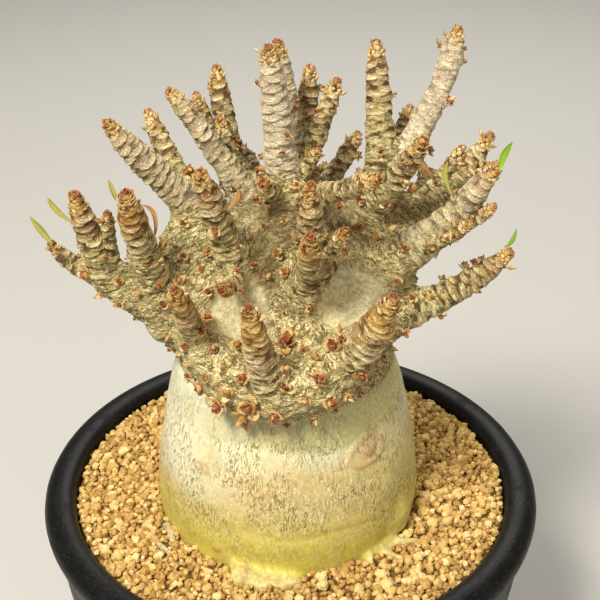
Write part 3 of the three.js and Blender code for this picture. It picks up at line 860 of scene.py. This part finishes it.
def limbs_mesh(settings):
    """The wrinkled bark of the limbs, a closed shell that dips under the smooth trunk."""
    bottom = SHOULDER - 15 * MM
    rim, bud_gap = bottom + 0.1 * MM, 5.6 * MM
    source = crown_mass(settings, bottom)
    mesh = trimmed(remeshed("limbs_skin", source, settings.limb_voxel), bottom)
    relax(mesh, np.where(points_of(mesh)[:, 2] > rim, 0.5, 0.0), 22)
    points, normals = points_of(mesh), normals_of(mesh)
    reached = bark_cover(points)
    cover = reached * (1 - bare_skin(points))
    grain = growth_grain(points, 0.66 * MM, 1.7 * MM)
    long, short = noise(grain, 1, 21), noise(grain, 0.5, 22)
    ridges = smoothstep(-0.45, 0.55, long + 0.45 * short)
    lumps = noise(points, 6 * MM, 9) + 0.6 * noise(points, 2.4 * MM, 8)
    dip = 1.6 * MM * smoothstep(SHOULDER + 5 * MM, SHOULDER, points[:, 2])
    rise = 0.15 * MM + settings.ledge * (ridges - 0.4) + 0.25 * MM * lumps
    lift = (reached - 1) * dip + (cover - reached) * 0.5 * MM + cover * rise
    sites, directions = choose_bud_sites(points, normals, cover, bud_gap)
    knob_radius, knob_height = 1.35 * MM, 0.65 * MM
    for site in sites:
        near = np.linalg.norm(points - site, axis=1) / knob_radius
        lift += knob_height * np.exp(-near ** 2)
    lift[points[:, 2] < rim] = 0
    move_points(mesh, points + normals * lift[:, None])
    front = smoothstep(-18 * MM, -32 * MM, points[:, 1])
    set_values(mesh, "relief", 0.30 + 0.38 * ridges)
    set_values(mesh, "along", 0.10 * noise(points, 9 * MM, 14) + 0.06 + 0.30 * front)
    set_values(mesh, "tone", np.zeros(len(points)))
    # painted shade for the bark: inner is highest in the middle of the crown's top
    heart = np.linalg.norm(points[:, :2] - np.array((2 * MM, -2 * MM)), axis=1)
    inner = smoothstep(27 * MM, 14 * MM, heart)
    inner *= smoothstep(SHOULDER + 20 * MM, SHOULDER + 28 * MM, points[:, 2])
    set_values(mesh, "inner", inner * smoothstep(-0.5, 0.3, noise(points, 6 * MM, 23)))
    set_vectors(mesh, "grain", growth_grain(points, 0.62 * MM, 1.25 * MM))
    set_values(mesh, "cover", cover)
    return mesh, sites, directions


class DESERTROSE_OT_trunk(bpy.types.Operator):
    """Makes the trunk, its limbs and the fine roots"""
    bl_idname = "desert_rose.trunk"
    bl_label = "Trunk and limbs"

    def execute(self, context):
        settings = context.scene.desert_rose_trunk
        add_piece("trunk_skin", trunk_mesh(settings), trunk_finish(settings),
                  ["trunk"])
        mesh, sites, directions = limbs_mesh(settings)
        finish = bark_finish("limb_bark", context.scene.desert_rose_stems)
        limbs = add_piece("limbs_skin", mesh, finish)
        limbs["bud_sites"] = [float(v) for v in np.c_[sites, directions].ravel()]
        bark, voxel = root_finish(), 0.22 * MM
        for node in FINE_ROOTS:
            root = remeshed(node + "_skin", frame["nodes"][node].data, voxel)
            relax(root, np.full(len(root.vertices), 0.5), 6)
            points = points_of(root)
            bumps = 0.12 * MM * noise(points, 1 * MM, 2)
            move_points(root, points + normals_of(root) * bumps[:, None])
            add_piece(node + "_skin", root, bark, [node])
        return {"FINISHED"}


# ---------------------------------------------------------------- stems
class Spine:
    """Centre line and radius of a stem, fitted to its CAD solid."""

    def __init__(self, node):
        points = np.unique(np.round(points_of(frame["nodes"][node].data), 7), axis=0)
        middle = points.mean(0)
        axis = np.linalg.svd(points - middle)[2][0]
        if axis @ (middle - np.array(CROWN_HEART)) < 0:
            axis = -axis
        side = square_to(axis)
        self.middle, self.basis = middle, np.array([axis, side, np.cross(axis, side)])
        t, u, v = ((points - middle) @ self.basis.T).T
        self.start, self.end = t.min(), t.max()
        self.length = self.end - self.start
        self.fit(t, u, v)
        self.tip_radius = self.radius(self.end)

    def fit(self, t, u, v):
        """Least squares for a bowed centre line with a tapering radius round it.

        The rounded end is left out, and after some steps the points that lie far off.
        """
        self.centre = np.zeros((2, 3))
        self.taper = np.array([4 * MM, 0.0])
        below_end = t < self.end - 2.2 * MM
        farthest = {5: 0.8 * MM, 9: 0.35 * MM}
        used = below_end
        for step in range(14):
            powers = np.c_[np.ones(used.sum()), t[used], t[used] ** 2]
            du, dv = u[used] - powers @ self.centre[0], v[used] - powers @ self.centre[1]
            reach = np.hypot(du, dv) + 1e-9
            error = reach - powers[:, :2] @ self.taper
            slopes = np.c_[-(du / reach)[:, None] * powers, -(dv / reach)[:, None] * powers,
                           -powers[:, :2]]
            change = np.linalg.lstsq(slopes, -error, rcond=1e-6)[0]
            self.centre += change[:6].reshape(2, 3)
            self.taper += change[6:]
            if step in farthest:
                every = np.c_[np.ones(len(t)), t, t ** 2]
                off = np.abs(np.hypot(u - every @ self.centre[0], v - every @ self.centre[1])
                             - every[:, :2] @ self.taper)
                used = below_end & (off < farthest[step])

    def radius(self, t):
        """Radius at distances along the spine."""
        inner = np.clip(t, self.start, self.end - 2 * MM)
        return np.clip(self.taper[0] + self.taper[1] * inner, 1.2 * MM, 6.5 * MM)

    def place(self, t):
        """Centre, direction and two sideways directions at distances along the spine."""
        t = np.atleast_1d(t)
        powers = np.c_[np.ones(len(t)), t, t ** 2]
        local = np.c_[t, powers @ self.centre[0], powers @ self.centre[1]]
        slope = np.c_[np.zeros(len(t)), np.ones(len(t)), 2 * t]
        along = np.c_[np.ones(len(t)), slope @ self.centre[0], slope @ self.centre[1]] @ self.basis
        along /= np.linalg.norm(along, axis=1)[:, None]
        side = np.cross(along, self.basis[2])
        side /= np.linalg.norm(side, axis=1)[:, None]
        return self.middle + local @ self.basis, along, side, np.cross(side, along)

    def at(self, t):
        """The same at one distance."""
        return [rows[0] for rows in self.place(t)]


def scar_table(length, spacing, seed):
    """Distance along, turn, half width and strength of each leaf scar of a stem."""
    rng = np.random.default_rng(seed)
    count = int(length / spacing) + 3
    order = np.arange(count)
    along = (order - 1) * spacing + rng.normal(0, 0.22, count) * spacing
    turn = (order * GOLDEN_TURN + rng.normal(0, 0.3, count)) % (2 * math.pi)
    return along, turn, rng.uniform(0.75, 1.4, count), rng.uniform(0.4, 1.0, count)


def scar_relief(along, angle, table, reach):
    """Overlapping cushions whose lower edges stand out and bow toward the base."""
    where, turn, width, strength = table
    gap = np.angle(np.exp(1j * (angle[:, None] - turn)))
    inside = np.clip(1 - (gap / width) ** 2, 0, 1)
    edge = where - 0.42 * reach * inside
    share = (along[:, None] - edge) / reach
    rise = smoothstep(-0.12, 0.05, share)
    fall = np.clip(1 - share, 0, 1) ** 0.75
    return (rise * fall * np.sqrt(inside) * strength).max(axis=1)


def tip_profile(depth, radius):
    """Share of its radius that a stem has at a depth below its end."""
    return np.clip(depth / (2.3 * radius), 0, 1) ** 0.5


# how pale and pink a stem's bark is, and what is left of its scars' height where it is smoother
STEM_TONES = {"stem_centre_column": 1.0, "stem_right_tallest": 1.0, "stem_centre_behind": 0.7,
              "stem_back_left_long": 0.5, "stem_left_long": 0.45, "stem_right_outer": 0.35}
SCAR_SHARES = {"stem_right_tallest": 0.5}


def side_bud_sites(node, where, length):
    """Which leaf scars of a stem carry a side bud."""
    rng = np.random.default_rng(SEEDS["side_sites"] + STEMS.index(node))
    chance_long, chance_short, long_stem = 0.085, 0.05, 22 * MM
    bare_foot, bare_top = 3 * MM, 4 * MM
    chance = chance_long if length > long_stem else chance_short
    picked = (rng.random(len(where)) < chance) & (where > bare_foot) & (where < length - bare_top)
    return np.flatnonzero(picked)


def stem_mesh(node, settings):
    """A stem's skin: a sphere's rings drawn out along the spine and raised into leaf scars."""
    spine = Spine(node)
    seed = SEEDS["stem"] + STEMS.index(node)
    root, ring_gap = 4.5 * MM, 0.27 * MM
    length = spine.length
    bm = bmesh.new()
    bmesh.ops.create_uvsphere(bm, u_segments=60, v_segments=int((length + 2 * root) / ring_gap),
                              radius=1)
    mesh = new_mesh(node + "_skin", bm)
    ball = points_of(mesh)
    share = 1 - np.arccos(np.clip(ball[:, 2], -1, 1)) / math.pi
    angle = np.arctan2(ball[:, 1], ball[:, 0])
    t = spine.start - root + share * (length + root)
    centre, _, side, other = spine.place(t)
    radius = spine.radius(t)
    dome = tip_profile(spine.end - t, spine.tip_radius)
    up = t - spine.start
    flare = 1 + 0.22 * np.exp(-np.clip(up, 0, None) / (3.2 * MM))
    close = smoothstep(0, 0.035, share)
    table = scar_table(length, settings.scar_spacing, seed)
    relief = scar_relief(up, angle, table, settings.scar_reach)
    outward = side * np.cos(angle)[:, None] + other * np.sin(angle)[:, None]
    surface = centre + outward * (radius * dome)[:, None]
    lumps = 0.09 * noise(surface, 4.5 * MM, seed) + 0.05 * noise(surface, 2.0 * MM, seed + 1)
    grain = np.c_[np.cos(angle) * radius / (1.9 * MM), np.sin(angle) * radius / (1.9 * MM),
                  up / (0.8 * MM)]
    wrinkles = noise(grain + seed, 1, seed) + 0.4 * noise(grain + seed, 0.5, seed)
    wrinkles = smoothstep(-0.5, 0.5, wrinkles)
    young = smoothstep(0.15, 0.6, up / length)
    strength = SCAR_SHARES.get(node, 1.0) * settings.scar_height
    height = strength * (0.65 + 0.14 * radius / MM) * (relief - 0.4) * (0.45 + 0.55 * young)
    height += (0.16 + 0.16 * (1 - young)) * MM * (wrinkles - 0.5)
    height *= smoothstep(-3 * MM, 0, up)
    where, turn = table[:2]
    knob_width, knob_length, knob_height = 1.2 * MM, 1.3 * MM, 0.7 * MM
    for index in side_bud_sites(node, where, length):
        gap = np.angle(np.exp(1j * (angle - turn[index]))) * radius
        near = np.exp(-((gap / knob_width) ** 2 + ((up - where[index]) / knob_length) ** 2))
        height += knob_height * near
    full = (radius * flare * (1 + lumps) + height) * dome * close
    fine = 0.05 * MM * noise(surface, 0.9 * MM, seed + 2)
    move_points(mesh, centre + outward * (full + fine * dome * close)[:, None])
    set_values(mesh, "relief", relief * (0.5 + 0.5 * young) + wrinkles * 0.5 * (1 - young))
    front = smoothstep(-20 * MM, -34 * MM, surface[:, 1])
    full_grown = smoothstep(9 * MM, 16 * MM, length)
    set_values(mesh, "along", 0.88 * np.clip(up / length, 0, 1) * full_grown
               + 0.35 * (1 - full_grown) + 0.30 * front)
    set_values(mesh, "tone", np.full(len(share), STEM_TONES.get(node, 0.0)))
    set_values(mesh, "cover", np.ones(len(share)))
    set_vectors(mesh, "grain", grain * 1.5 + seed)
    return mesh


class DESERTROSE_OT_stems(bpy.types.Operator):
    """Makes the stems with their leaf scars"""
    bl_idname = "desert_rose.stems"
    bl_label = "Stems"

    def execute(self, context):
        settings = context.scene.desert_rose_stems
        finish = bark_finish("stem_bark", settings, 0.45)
        for node in STEMS:
            add_piece(node + "_skin", stem_mesh(node, settings), finish, [node])
        return {"FINISHED"}


# ---------------------------------------------------------------- buds
def scale_template():
    """One pointed, cupped bud scale of unit length, standing up from its foot."""
    bm = bmesh.new()
    bmesh.ops.create_uvsphere(bm, u_segments=8, v_segments=6, radius=1)
    for v in bm.verts:
        x, y, z = v.co
        h = (z + 1) / 2
        point = 1 - h ** 2.4
        curve = -0.34 * h * h + 0.20 * h - 0.36 * (x * x) * point
        v.co = (x * 0.50 * (0.35 + 0.65 * point), y * 0.15 * (0.4 + 0.6 * point) + curve, h)
    return new_mesh("bud_scale", bm)


class Scales:
    """Collects the scales of many buds: a matrix and a shade for each."""

    def __init__(self, seed):
        self.rng = np.random.default_rng(seed)
        self.matrices, self.shades = [], []

    def add(self, foot, direction, out, length, width, shade):
        """One scale at its foot, rising along a direction with its back facing out."""
        direction = direction / np.linalg.norm(direction)
        out = out - direction * (out @ direction)
        out /= np.linalg.norm(out)
        matrix = np.eye(4)
        matrix[:3, 0] = np.cross(out, direction) * width
        matrix[:3, 1] = out * length
        matrix[:3, 2] = direction * length
        matrix[:3, 3] = foot
        self.matrices.append(matrix)
        self.shades.append(float(np.clip(shade + self.rng.normal(0, 0.13), 0, 1)))

    def bud(self, origin, axis, size, count, spread, shades):
        """Scales in a spiral from the outer ones, spread in degrees, to an upright heart."""
        rng = self.rng
        axis = axis / np.linalg.norm(axis)
        aside = square_to(axis)
        other = np.cross(axis, aside)
        turn = rng.uniform(*ANY_TURN)
        for k in range(count):
            inner = k / max(1, count - 1)
            turn += GOLDEN_TURN + rng.normal(0, 0.2)
            radial = around(aside, other, turn)
            tilt = math.radians(max(4, spread * (1 - inner) + 8 + rng.normal(0, 9)))
            direction = axis * math.cos(tilt) + radial * math.sin(tilt)
            foot = origin + radial * size * 0.40 * (1 - inner) + axis * size * 0.30 * inner
            self.add(foot, direction, radial, size * rng.uniform(0.75, 1.2),
                     size * rng.uniform(0.8, 1.2) * (1.25 - 0.45 * inner),
                     shades[0] + (shades[1] - shades[0]) * inner)

    def curl(self, foot, direction, out, length):
        """A dry stipule, long and thin."""
        self.add(foot, direction, out, length, length * self.rng.uniform(0.35, 0.6), 0.92)


BUD_SCALES, TIP_SCALES, TIP_LEAN = 7, 9, 34
# rings of scales round a stem's top: depth below its end, lean and shade
TIP_RINGS = ((4.6, 0.75, 0.98), (3.6, 0.7, 0.95), (2.7, 0.7, 0.9), (1.9, 0.6, 0.82),
             (1.2, 0.5, 0.72), (0.6, 0.4, 0.6))


def tip_buds():
    """Golden cups round the top of each stem and a small red heart at its end."""
    scales = Scales(SEEDS["tip_buds"])
    rng = scales.rng
    for node in STEMS:
        spine = Spine(node)
        radius = spine.tip_radius
        for back, lean, shade in TIP_RINGS:
            depth = back * MM * (0.55 + 0.12 * radius / MM)
            centre, along, side, other = spine.at(spine.end - depth)
            reach = float(tip_profile(depth, radius))
            count = int(4 + 4 * rng.random())
            for k in range(count):
                turn = (k + rng.uniform(-0.45, 0.45)) / count * 2 * math.pi + back * 2.1
                out = around(side, other, turn)
                foot = centre + out * (radius * reach * 0.93 + 0.1 * MM)
                size = radius * rng.uniform(0.26, 0.50) + 0.35 * MM
                scales.add(foot, along + out * lean * rng.uniform(0.1, 1.3), out, size,
                           size * rng.uniform(1.0, 1.5), shade)
        centre, along, _, _ = spine.at(spine.end - 0.25 * MM)
        scales.bud(centre - along * 0.5 * MM, along, radius * 0.30 + 0.65 * MM, TIP_SCALES,
                   TIP_LEAN, (0.5, 0.02))
        for _ in range(rng.integers(0, 3)):
            centre, along, side, other = spine.at(spine.end - rng.uniform(1, 5) * MM)
            out = around(side, other, rng.uniform(*ANY_TURN))
            scales.curl(centre + out * radius * 0.9, along * 0.8 + out, out,
                        rng.uniform(1.8, 3.2) * MM)
    return scales


def side_buds(settings, stem_settings):
    """Small buds on leaf scars of the stems."""
    scales = Scales(SEEDS["side_buds"])
    rng = scales.rng
    for node in STEMS:
        spine = Spine(node)
        seed = SEEDS["stem"] + STEMS.index(node)
        where, turn, _, _ = scar_table(spine.length, stem_settings.scar_spacing, seed)
        for index in side_bud_sites(node, where, spine.length):
            t = spine.start + where[index]
            centre, along, side, other = spine.at(t)
            out = around(side, other, turn[index])
            foot = centre + out * (spine.radius(t) + 0.45 * MM)
            size = settings.side_bud * rng.uniform(0.55, 1.15)
            scales.bud(foot, out + 0.5 * along, size, BUD_SCALES, rng.uniform(36, 70),
                       (rng.uniform(0.75, 1.1), rng.uniform(0.0, 0.5)))
            if rng.random() < 0.22:
                scales.curl(foot, out + along, out, rng.uniform(2, 3.6) * MM)
    return scales


def limb_buds(settings):
    """Buds of every size over the limbs, larger in front, some with dry stipules."""
    scales = Scales(SEEDS["limb_buds"])
    rng = scales.rng
    sites = np.array(bpy.data.objects["limbs_skin"]["bud_sites"]).reshape(-1, 6)
    sizes, shares = (0.55, 0.8, 1.05, 1.5), (0.25, 0.35, 0.28, 0.12)
    front, front_width, front_growth = -24 * MM, 26 * MM, 1.35
    for site in sites:
        out = site[3:]
        direction = out + np.array((0, 0, 0.35)) + rng.normal(0, 0.25, 3)
        near = front_growth if site[1] < front and abs(site[0]) < front_width else 1.0
        size = rng.choice(sizes, p=shares)
        size = near * settings.side_bud * size
        scales.bud(site[:3] + out * 0.35 * MM, direction, size, BUD_SCALES, rng.uniform(34, 74),
                   (rng.uniform(0.75, 1.1), rng.uniform(0.0, 0.45)))
        for _ in range(rng.integers(1, 4) if rng.random() < 0.3 * near ** 3 else 0):
            side = out + rng.normal(0, 0.5, 3)
            scales.curl(site[:3], direction + side, side, rng.uniform(1.8, 3.8) * MM)
    return scales


class DESERTROSE_OT_buds(bpy.types.Operator):
    """Makes the buds at the tips and on the sides of the stems and limbs"""
    bl_idname = "desert_rose.buds"
    bl_label = "Buds"

    def execute(self, context):
        settings = context.scene.desert_rose_buds
        finish = bud_finish(settings)
        template = scale_template()
        groups = {"tip_buds": tip_buds(),
                  "side_buds": side_buds(settings, context.scene.desert_rose_stems),
                  "limb_buds": limb_buds(settings)}
        for name, scales in groups.items():
            mesh = scatter(name, template, np.array(scales.matrices), {"shade": scales.shades})
            add_piece(name, mesh, finish)
        return {"FINISHED"}


# ---------------------------------------------------------------- leaves
def nearest_stem(point):
    """The closest place on any stem's centre line, and how far its surface is from there."""
    best = None
    for node in STEMS:
        spine = Spine(node)
        t = np.linspace(spine.start, spine.end, 60)
        centres = spine.place(t)[0]
        away = np.linalg.norm(centres - point, axis=1) - spine.radius(t)
        k = int(away.argmin())
        if best is None or away[k] < best[0]:
            best = (away[k], centres[k], spine.radius(t)[k])
    return best


def leaf_mesh(node, width, curl, seed):
    """A thin blade on a curve from the nearest stem through its CAD solid to its tip."""
    points = np.unique(np.round(points_of(frame["nodes"][node].data), 7), axis=0)
    middle = points.mean(0)
    along, across, _ = np.linalg.svd(points - middle)[2]
    reach = (points - middle) @ along
    ends = [middle + along * reach.min(), middle + along * reach.max()]
    anchors = [nearest_stem(end) for end in ends]
    near = 0 if anchors[0][0] < anchors[1][0] else 1
    _, centre, radius = anchors[near]
    tip = ends[1 - near]
    outward = ends[near] - centre
    foot = centre + outward / np.linalg.norm(outward) * (radius * 0.85)
    bend = 2 * middle - 0.5 * (foot + tip)
    half_width = np.ptp((points - middle) @ across) / 2 * width
    bm = bmesh.new()
    bmesh.ops.create_grid(bm, x_segments=28, y_segments=10, size=1)
    bmesh.ops.solidify(bm, geom=bm.faces[:], thickness=0.001)
    mesh = new_mesh(node + "_blade", bm)
    flat = points_of(mesh)
    share = (flat[:, 0] + 1) / 2
    spot = share[:, None]
    line = (1 - spot) ** 2 * foot + 2 * spot * (1 - spot) * bend + spot ** 2 * tip
    ahead = 2 * (1 - spot) * (bend - foot) + 2 * spot * (tip - bend)
    ahead /= np.linalg.norm(ahead, axis=1)[:, None]
    sideways = across - ahead * (ahead @ across)[:, None]
    sideways /= np.linalg.norm(sideways, axis=1)[:, None]
    upward = np.cross(ahead, sideways)
    across_it, thickness = flat[:, 1], 0.26 * MM
    outline = np.sin(math.pi * share ** 1.25) ** 0.8 * 0.85 + 0.15 * (1 - share) + 0.02
    half = half_width * outline
    face = np.where(flat[:, 2] > np.median(flat[:, 2]), 0.5, -0.5) * thickness
    ruffle = 0.25 * np.sin(share * 8 + seed) * np.abs(across_it)
    fold = curl * half * (across_it ** 2 + ruffle)
    placed = line + sideways * (across_it * half)[:, None] + upward * (fold + face)[:, None]
    move_points(mesh, placed)
    set_values(mesh, "across", np.abs(across_it))
    set_values(mesh, "along", share)
    bm = bmesh.new()
    bm.from_mesh(mesh)
    bmesh.ops.recalc_face_normals(bm, faces=bm.faces[:])
    bm.to_mesh(mesh)
    bm.free()
    return mesh


class DESERTROSE_OT_leaves(bpy.types.Operator):
    """Makes the fresh and dry leaves"""
    bl_idname = "desert_rose.leaves"
    bl_label = "Leaves"

    def execute(self, context):
        settings = context.scene.desert_rose_leaves
        slots = {s["node"]: s["material_slot"] for s in frame["record"]["subparts"]}
        finishes = {
            "green_leaf": leaf_finish("leaf_green", settings.green, (0.42, 0.52, 0.08)),
            "yellow_leaf": leaf_finish("leaf_yellow", (0.46, 0.46, 0.09), (0.55, 0.36, 0.10)),
            "dry_leaf": leaf_finish("leaf_dry", settings.dry, (0.62, 0.40, 0.17)),
        }
        for i, node in enumerate(LEAVES):
            slot = slots[node]
            if slot == "green_leaf" and points_of(frame["nodes"][node].data)[:, 0].mean() < 0:
                finish = finishes["yellow_leaf"]
            else:
                finish = finishes[slot]
            # share of the CAD leaf's width, and how much the blade folds
            width, curl = (0.75, 1.1) if slot == "dry_leaf" else (0.72, 0.5)
            add_piece(node + "_blade", leaf_mesh(node, width, curl, i), finish, [node])
        return {"FINISHED"}


# ---------------------------------------------------------------- soil
def granule_template(seed):
    """A lump with its corners knocked off."""
    bm = bmesh.new()
    bmesh.ops.create_icosphere(bm, subdivisions=2, radius=0.5)
    mesh = new_mesh("granule", bm)
    points = points_of(mesh)
    points *= (1 + 0.42 * noise(points, 0.40, seed) + 0.16 * noise(points, 0.2, seed + 1))[:, None]
    move_points(mesh, points)
    return mesh


def granule_places(settings, trunk, bed, rng, spacing, lift, widths, skip):
    """Places and widths of one layer of granules between the trunk and the wall."""
    steps = int(SOIL_RADIUS / spacing) + 2
    row, jitter = 0.866, 0.34
    up = Vector((0, 0, 1))
    places, sizes = [], []
    for i, j in itertools.product(range(-steps, steps + 1), repeat=2):
        x = (i + 0.5 * (j % 2) + rng.uniform(-jitter, jitter)) * spacing
        y = (j * row + rng.uniform(-jitter, jitter)) * spacing
        width = settings.granule * rng.uniform(*widths)
        if math.hypot(x, y) > SOIL_RADIUS - width * 0.45 or rng.random() < skip:
            continue
        ground = bed.ray_cast(Vector((x, y, POT_HEIGHT + 5 * MM)), -up)[0]
        if ground is None:
            ground = Vector((x, y, SOIL_TOP))
        spot = ground + Vector((0, 0, (lift + rng.uniform(-0.25, 0.3)) * MM))
        spot.z += 0.45 * MM * float(noise(np.array([[x, y, 0]]), 12 * MM, 3)[0])
        above = trunk.ray_cast(spot, up)[1]
        if trunk.find_nearest(spot)[3] < width * 0.12 or (above is not None and above.z > 0):
            continue
        places.append(spot)
        sizes.append(width)
    return places, sizes


def granule_matrices(places, sizes, rng):
    """A turn and a stretch of its own for each granule."""
    matrices = []
    for spot, width in zip(places, sizes):
        turn = Matrix.Rotation(rng.uniform(*ANY_TURN), 4, Vector(rng.normal(size=3)))
        shape = Matrix.Diagonal((*(width * rng.uniform(0.82, 1.2, 3)), 1))
        matrices.append(np.array(Matrix.Translation(spot) @ turn @ shape))
    return np.array(matrices)


class DESERTROSE_OT_soil(bpy.types.Operator):
    """Makes the bed of soil and the clay granules on it"""
    bl_idname = "desert_rose.soil"
    bl_label = "Soil"

    def execute(self, context):
        settings = context.scene.desert_rose_soil
        rng = np.random.default_rng(settings.seed)
        finish = granule_finish(settings)
        soil = frame["nodes"]["soil"]
        soil.material_slots[0].material = bed_finish(settings)
        depsgraph = context.evaluated_depsgraph_get()
        trunk = BVHTree.FromObject(bpy.data.objects["trunk_skin"], depsgraph)
        bed = BVHTree.FromObject(soil, depsgraph)
        # spacing, lift in mm, smallest and largest width, and share of places left empty
        layers = {"granules_lower": (1.70 * MM, 0.20, (0.75, 1.15), 0.10),
                  "granules_upper": (1.84 * MM, 1.0, (0.62, 1.25), 0.34),
                  "granules_coarse": (5.0 * MM, 1.15, (1.4, 2.1), 0.45)}
        for i, (name, (spacing, lift, widths, skip)) in enumerate(layers.items()):
            places, sizes = granule_places(settings, trunk, bed, rng, spacing, lift, widths, skip)
            # painted shade: the lower layer's granules, under the upper ones, are darkened to 0.22
            # of their tone
            pieces, painted_shade_scale = (1 if name == "granules_coarse" else 4), (0.22 if i == 0 else 1.0)
            for k, part in enumerate(np.array_split(np.arange(len(places)), pieces)):
                matrices = granule_matrices([places[n] for n in part], [sizes[n] for n in part],
                                            rng)
                tones = rng.beta(1.4, 1.3, len(part)) * painted_shade_scale
                template = granule_template(SEEDS["granule"] + 4 * i + k)
                mesh = scatter(f"{name}_{k + 1}", template, matrices, {"tone": tones})
                add_piece(f"{name}_{k + 1}", mesh, finish, smooth=False)
        return {"FINISHED"}


# ---------------------------------------------------------------- stage
class DESERTROSE_OT_stage(bpy.types.Operator):
    """Makes the floor, the lights and the camera"""
    bl_idname = "desert_rose.stage"
    bl_label = "Stage"

    def execute(self, context):
        settings = context.scene.desert_rose_stage
        scene = context.scene
        bm = bmesh.new()
        bmesh.ops.create_grid(bm, x_segments=2, y_segments=2, size=3.0)
        mesh = new_mesh("floor", bm)
        mesh.materials.append(floor_finish(settings))
        link("floor", mesh)
        target = Vector((0, 0, SHOULDER))
        # place, size, power and colour
        lamps = {"key": (Vector((-0.34, -0.50, 0.90)), 0.26, settings.key_power, (1.0, 0.94, 0.82)),
                 "fill": (Vector((0.55, -0.65, 0.75)), 0.7, settings.fill_power,
                          (1.0, 0.90, 0.72)),
                 "back": (Vector((0.1, 0.7, 0.8)), 0.5, settings.fill_power * 1.6,
                          (1.0, 0.97, 0.90))}
        for name, (spot, size, power, colour) in lamps.items():
            light = bpy.data.lights.new(name, "AREA")
            light.energy, light.size, light.color = power, size, colour
            lamp = link(name, light)
            lamp.location = spot
            lamp.rotation_euler = (target - spot).to_track_quat("-Z", "Y").to_euler()
        world = bpy.data.worlds.new("studio")
        world.use_nodes = True
        sky = world.node_tree.nodes["Background"].inputs
        sky["Color"].default_value = (1.0, 0.97, 0.92, 1.0)
        sky["Strength"].default_value = 0.22
        scene.world = world
        scene.view_settings.view_transform = "Standard"
        lens = bpy.data.cameras.new("camera")
        lens.lens, lens.sensor_width = CAMERA_LENS, CAMERA_SENSOR
        lens.clip_start = 0.01
        camera = link("camera", lens)
        camera.location = CAMERA_PLACE
        camera.rotation_euler = (math.radians(90) - CAMERA_DOWN, 0, -CAMERA_RIGHT)
        scene.camera = camera
        return {"FINISHED"}


# ---------------------------------------------------------------- add-on
OPERATORS = [DESERTROSE_OT_pot, DESERTROSE_OT_trunk, DESERTROSE_OT_stems, DESERTROSE_OT_buds,
             DESERTROSE_OT_leaves, DESERTROSE_OT_soil, DESERTROSE_OT_stage]
SETTINGS = {"desert_rose_pot": PotSettings, "desert_rose_soil": SoilSettings,
            "desert_rose_trunk": TrunkSettings, "desert_rose_stems": StemSettings,
            "desert_rose_buds": BudSettings, "desert_rose_leaves": LeafSettings,
            "desert_rose_stage": StageSettings}


class DESERTROSE_PT_panel(bpy.types.Panel):
    """Lists the steps that build the desert rose"""
    bl_idname = "DESERTROSE_PT_panel"
    bl_label = "Desert Rose"
    bl_space_type = "VIEW_3D"
    bl_region_type = "UI"
    bl_category = "Desert Rose"

    def draw(self, context):
        for operator in OPERATORS:
            self.layout.operator(operator.bl_idname)
        for name, group in SETTINGS.items():
            box = self.layout.box()
            for key in group.__annotations__:
                box.prop(getattr(context.scene, name), key)


def register():
    for group in SETTINGS.values():
        bpy.utils.register_class(group)
    for each in [*OPERATORS, DESERTROSE_PT_panel]:
        bpy.utils.register_class(each)
    for name, group in SETTINGS.items():
        setattr(bpy.types.Scene, name, PointerProperty(type=group))


def unregister():
    for name in SETTINGS:
        delattr(bpy.types.Scene, name)
    for each in [DESERTROSE_PT_panel, *reversed(OPERATORS), *SETTINGS.values()]:
        bpy.utils.unregister_class(each)


def main():
    register()
    for name in ("pot", "trunk", "stems", "buds", "leaves", "soil", "stage"):
        getattr(bpy.ops.desert_rose, name)()


if __name__ == "__main__":
    main()
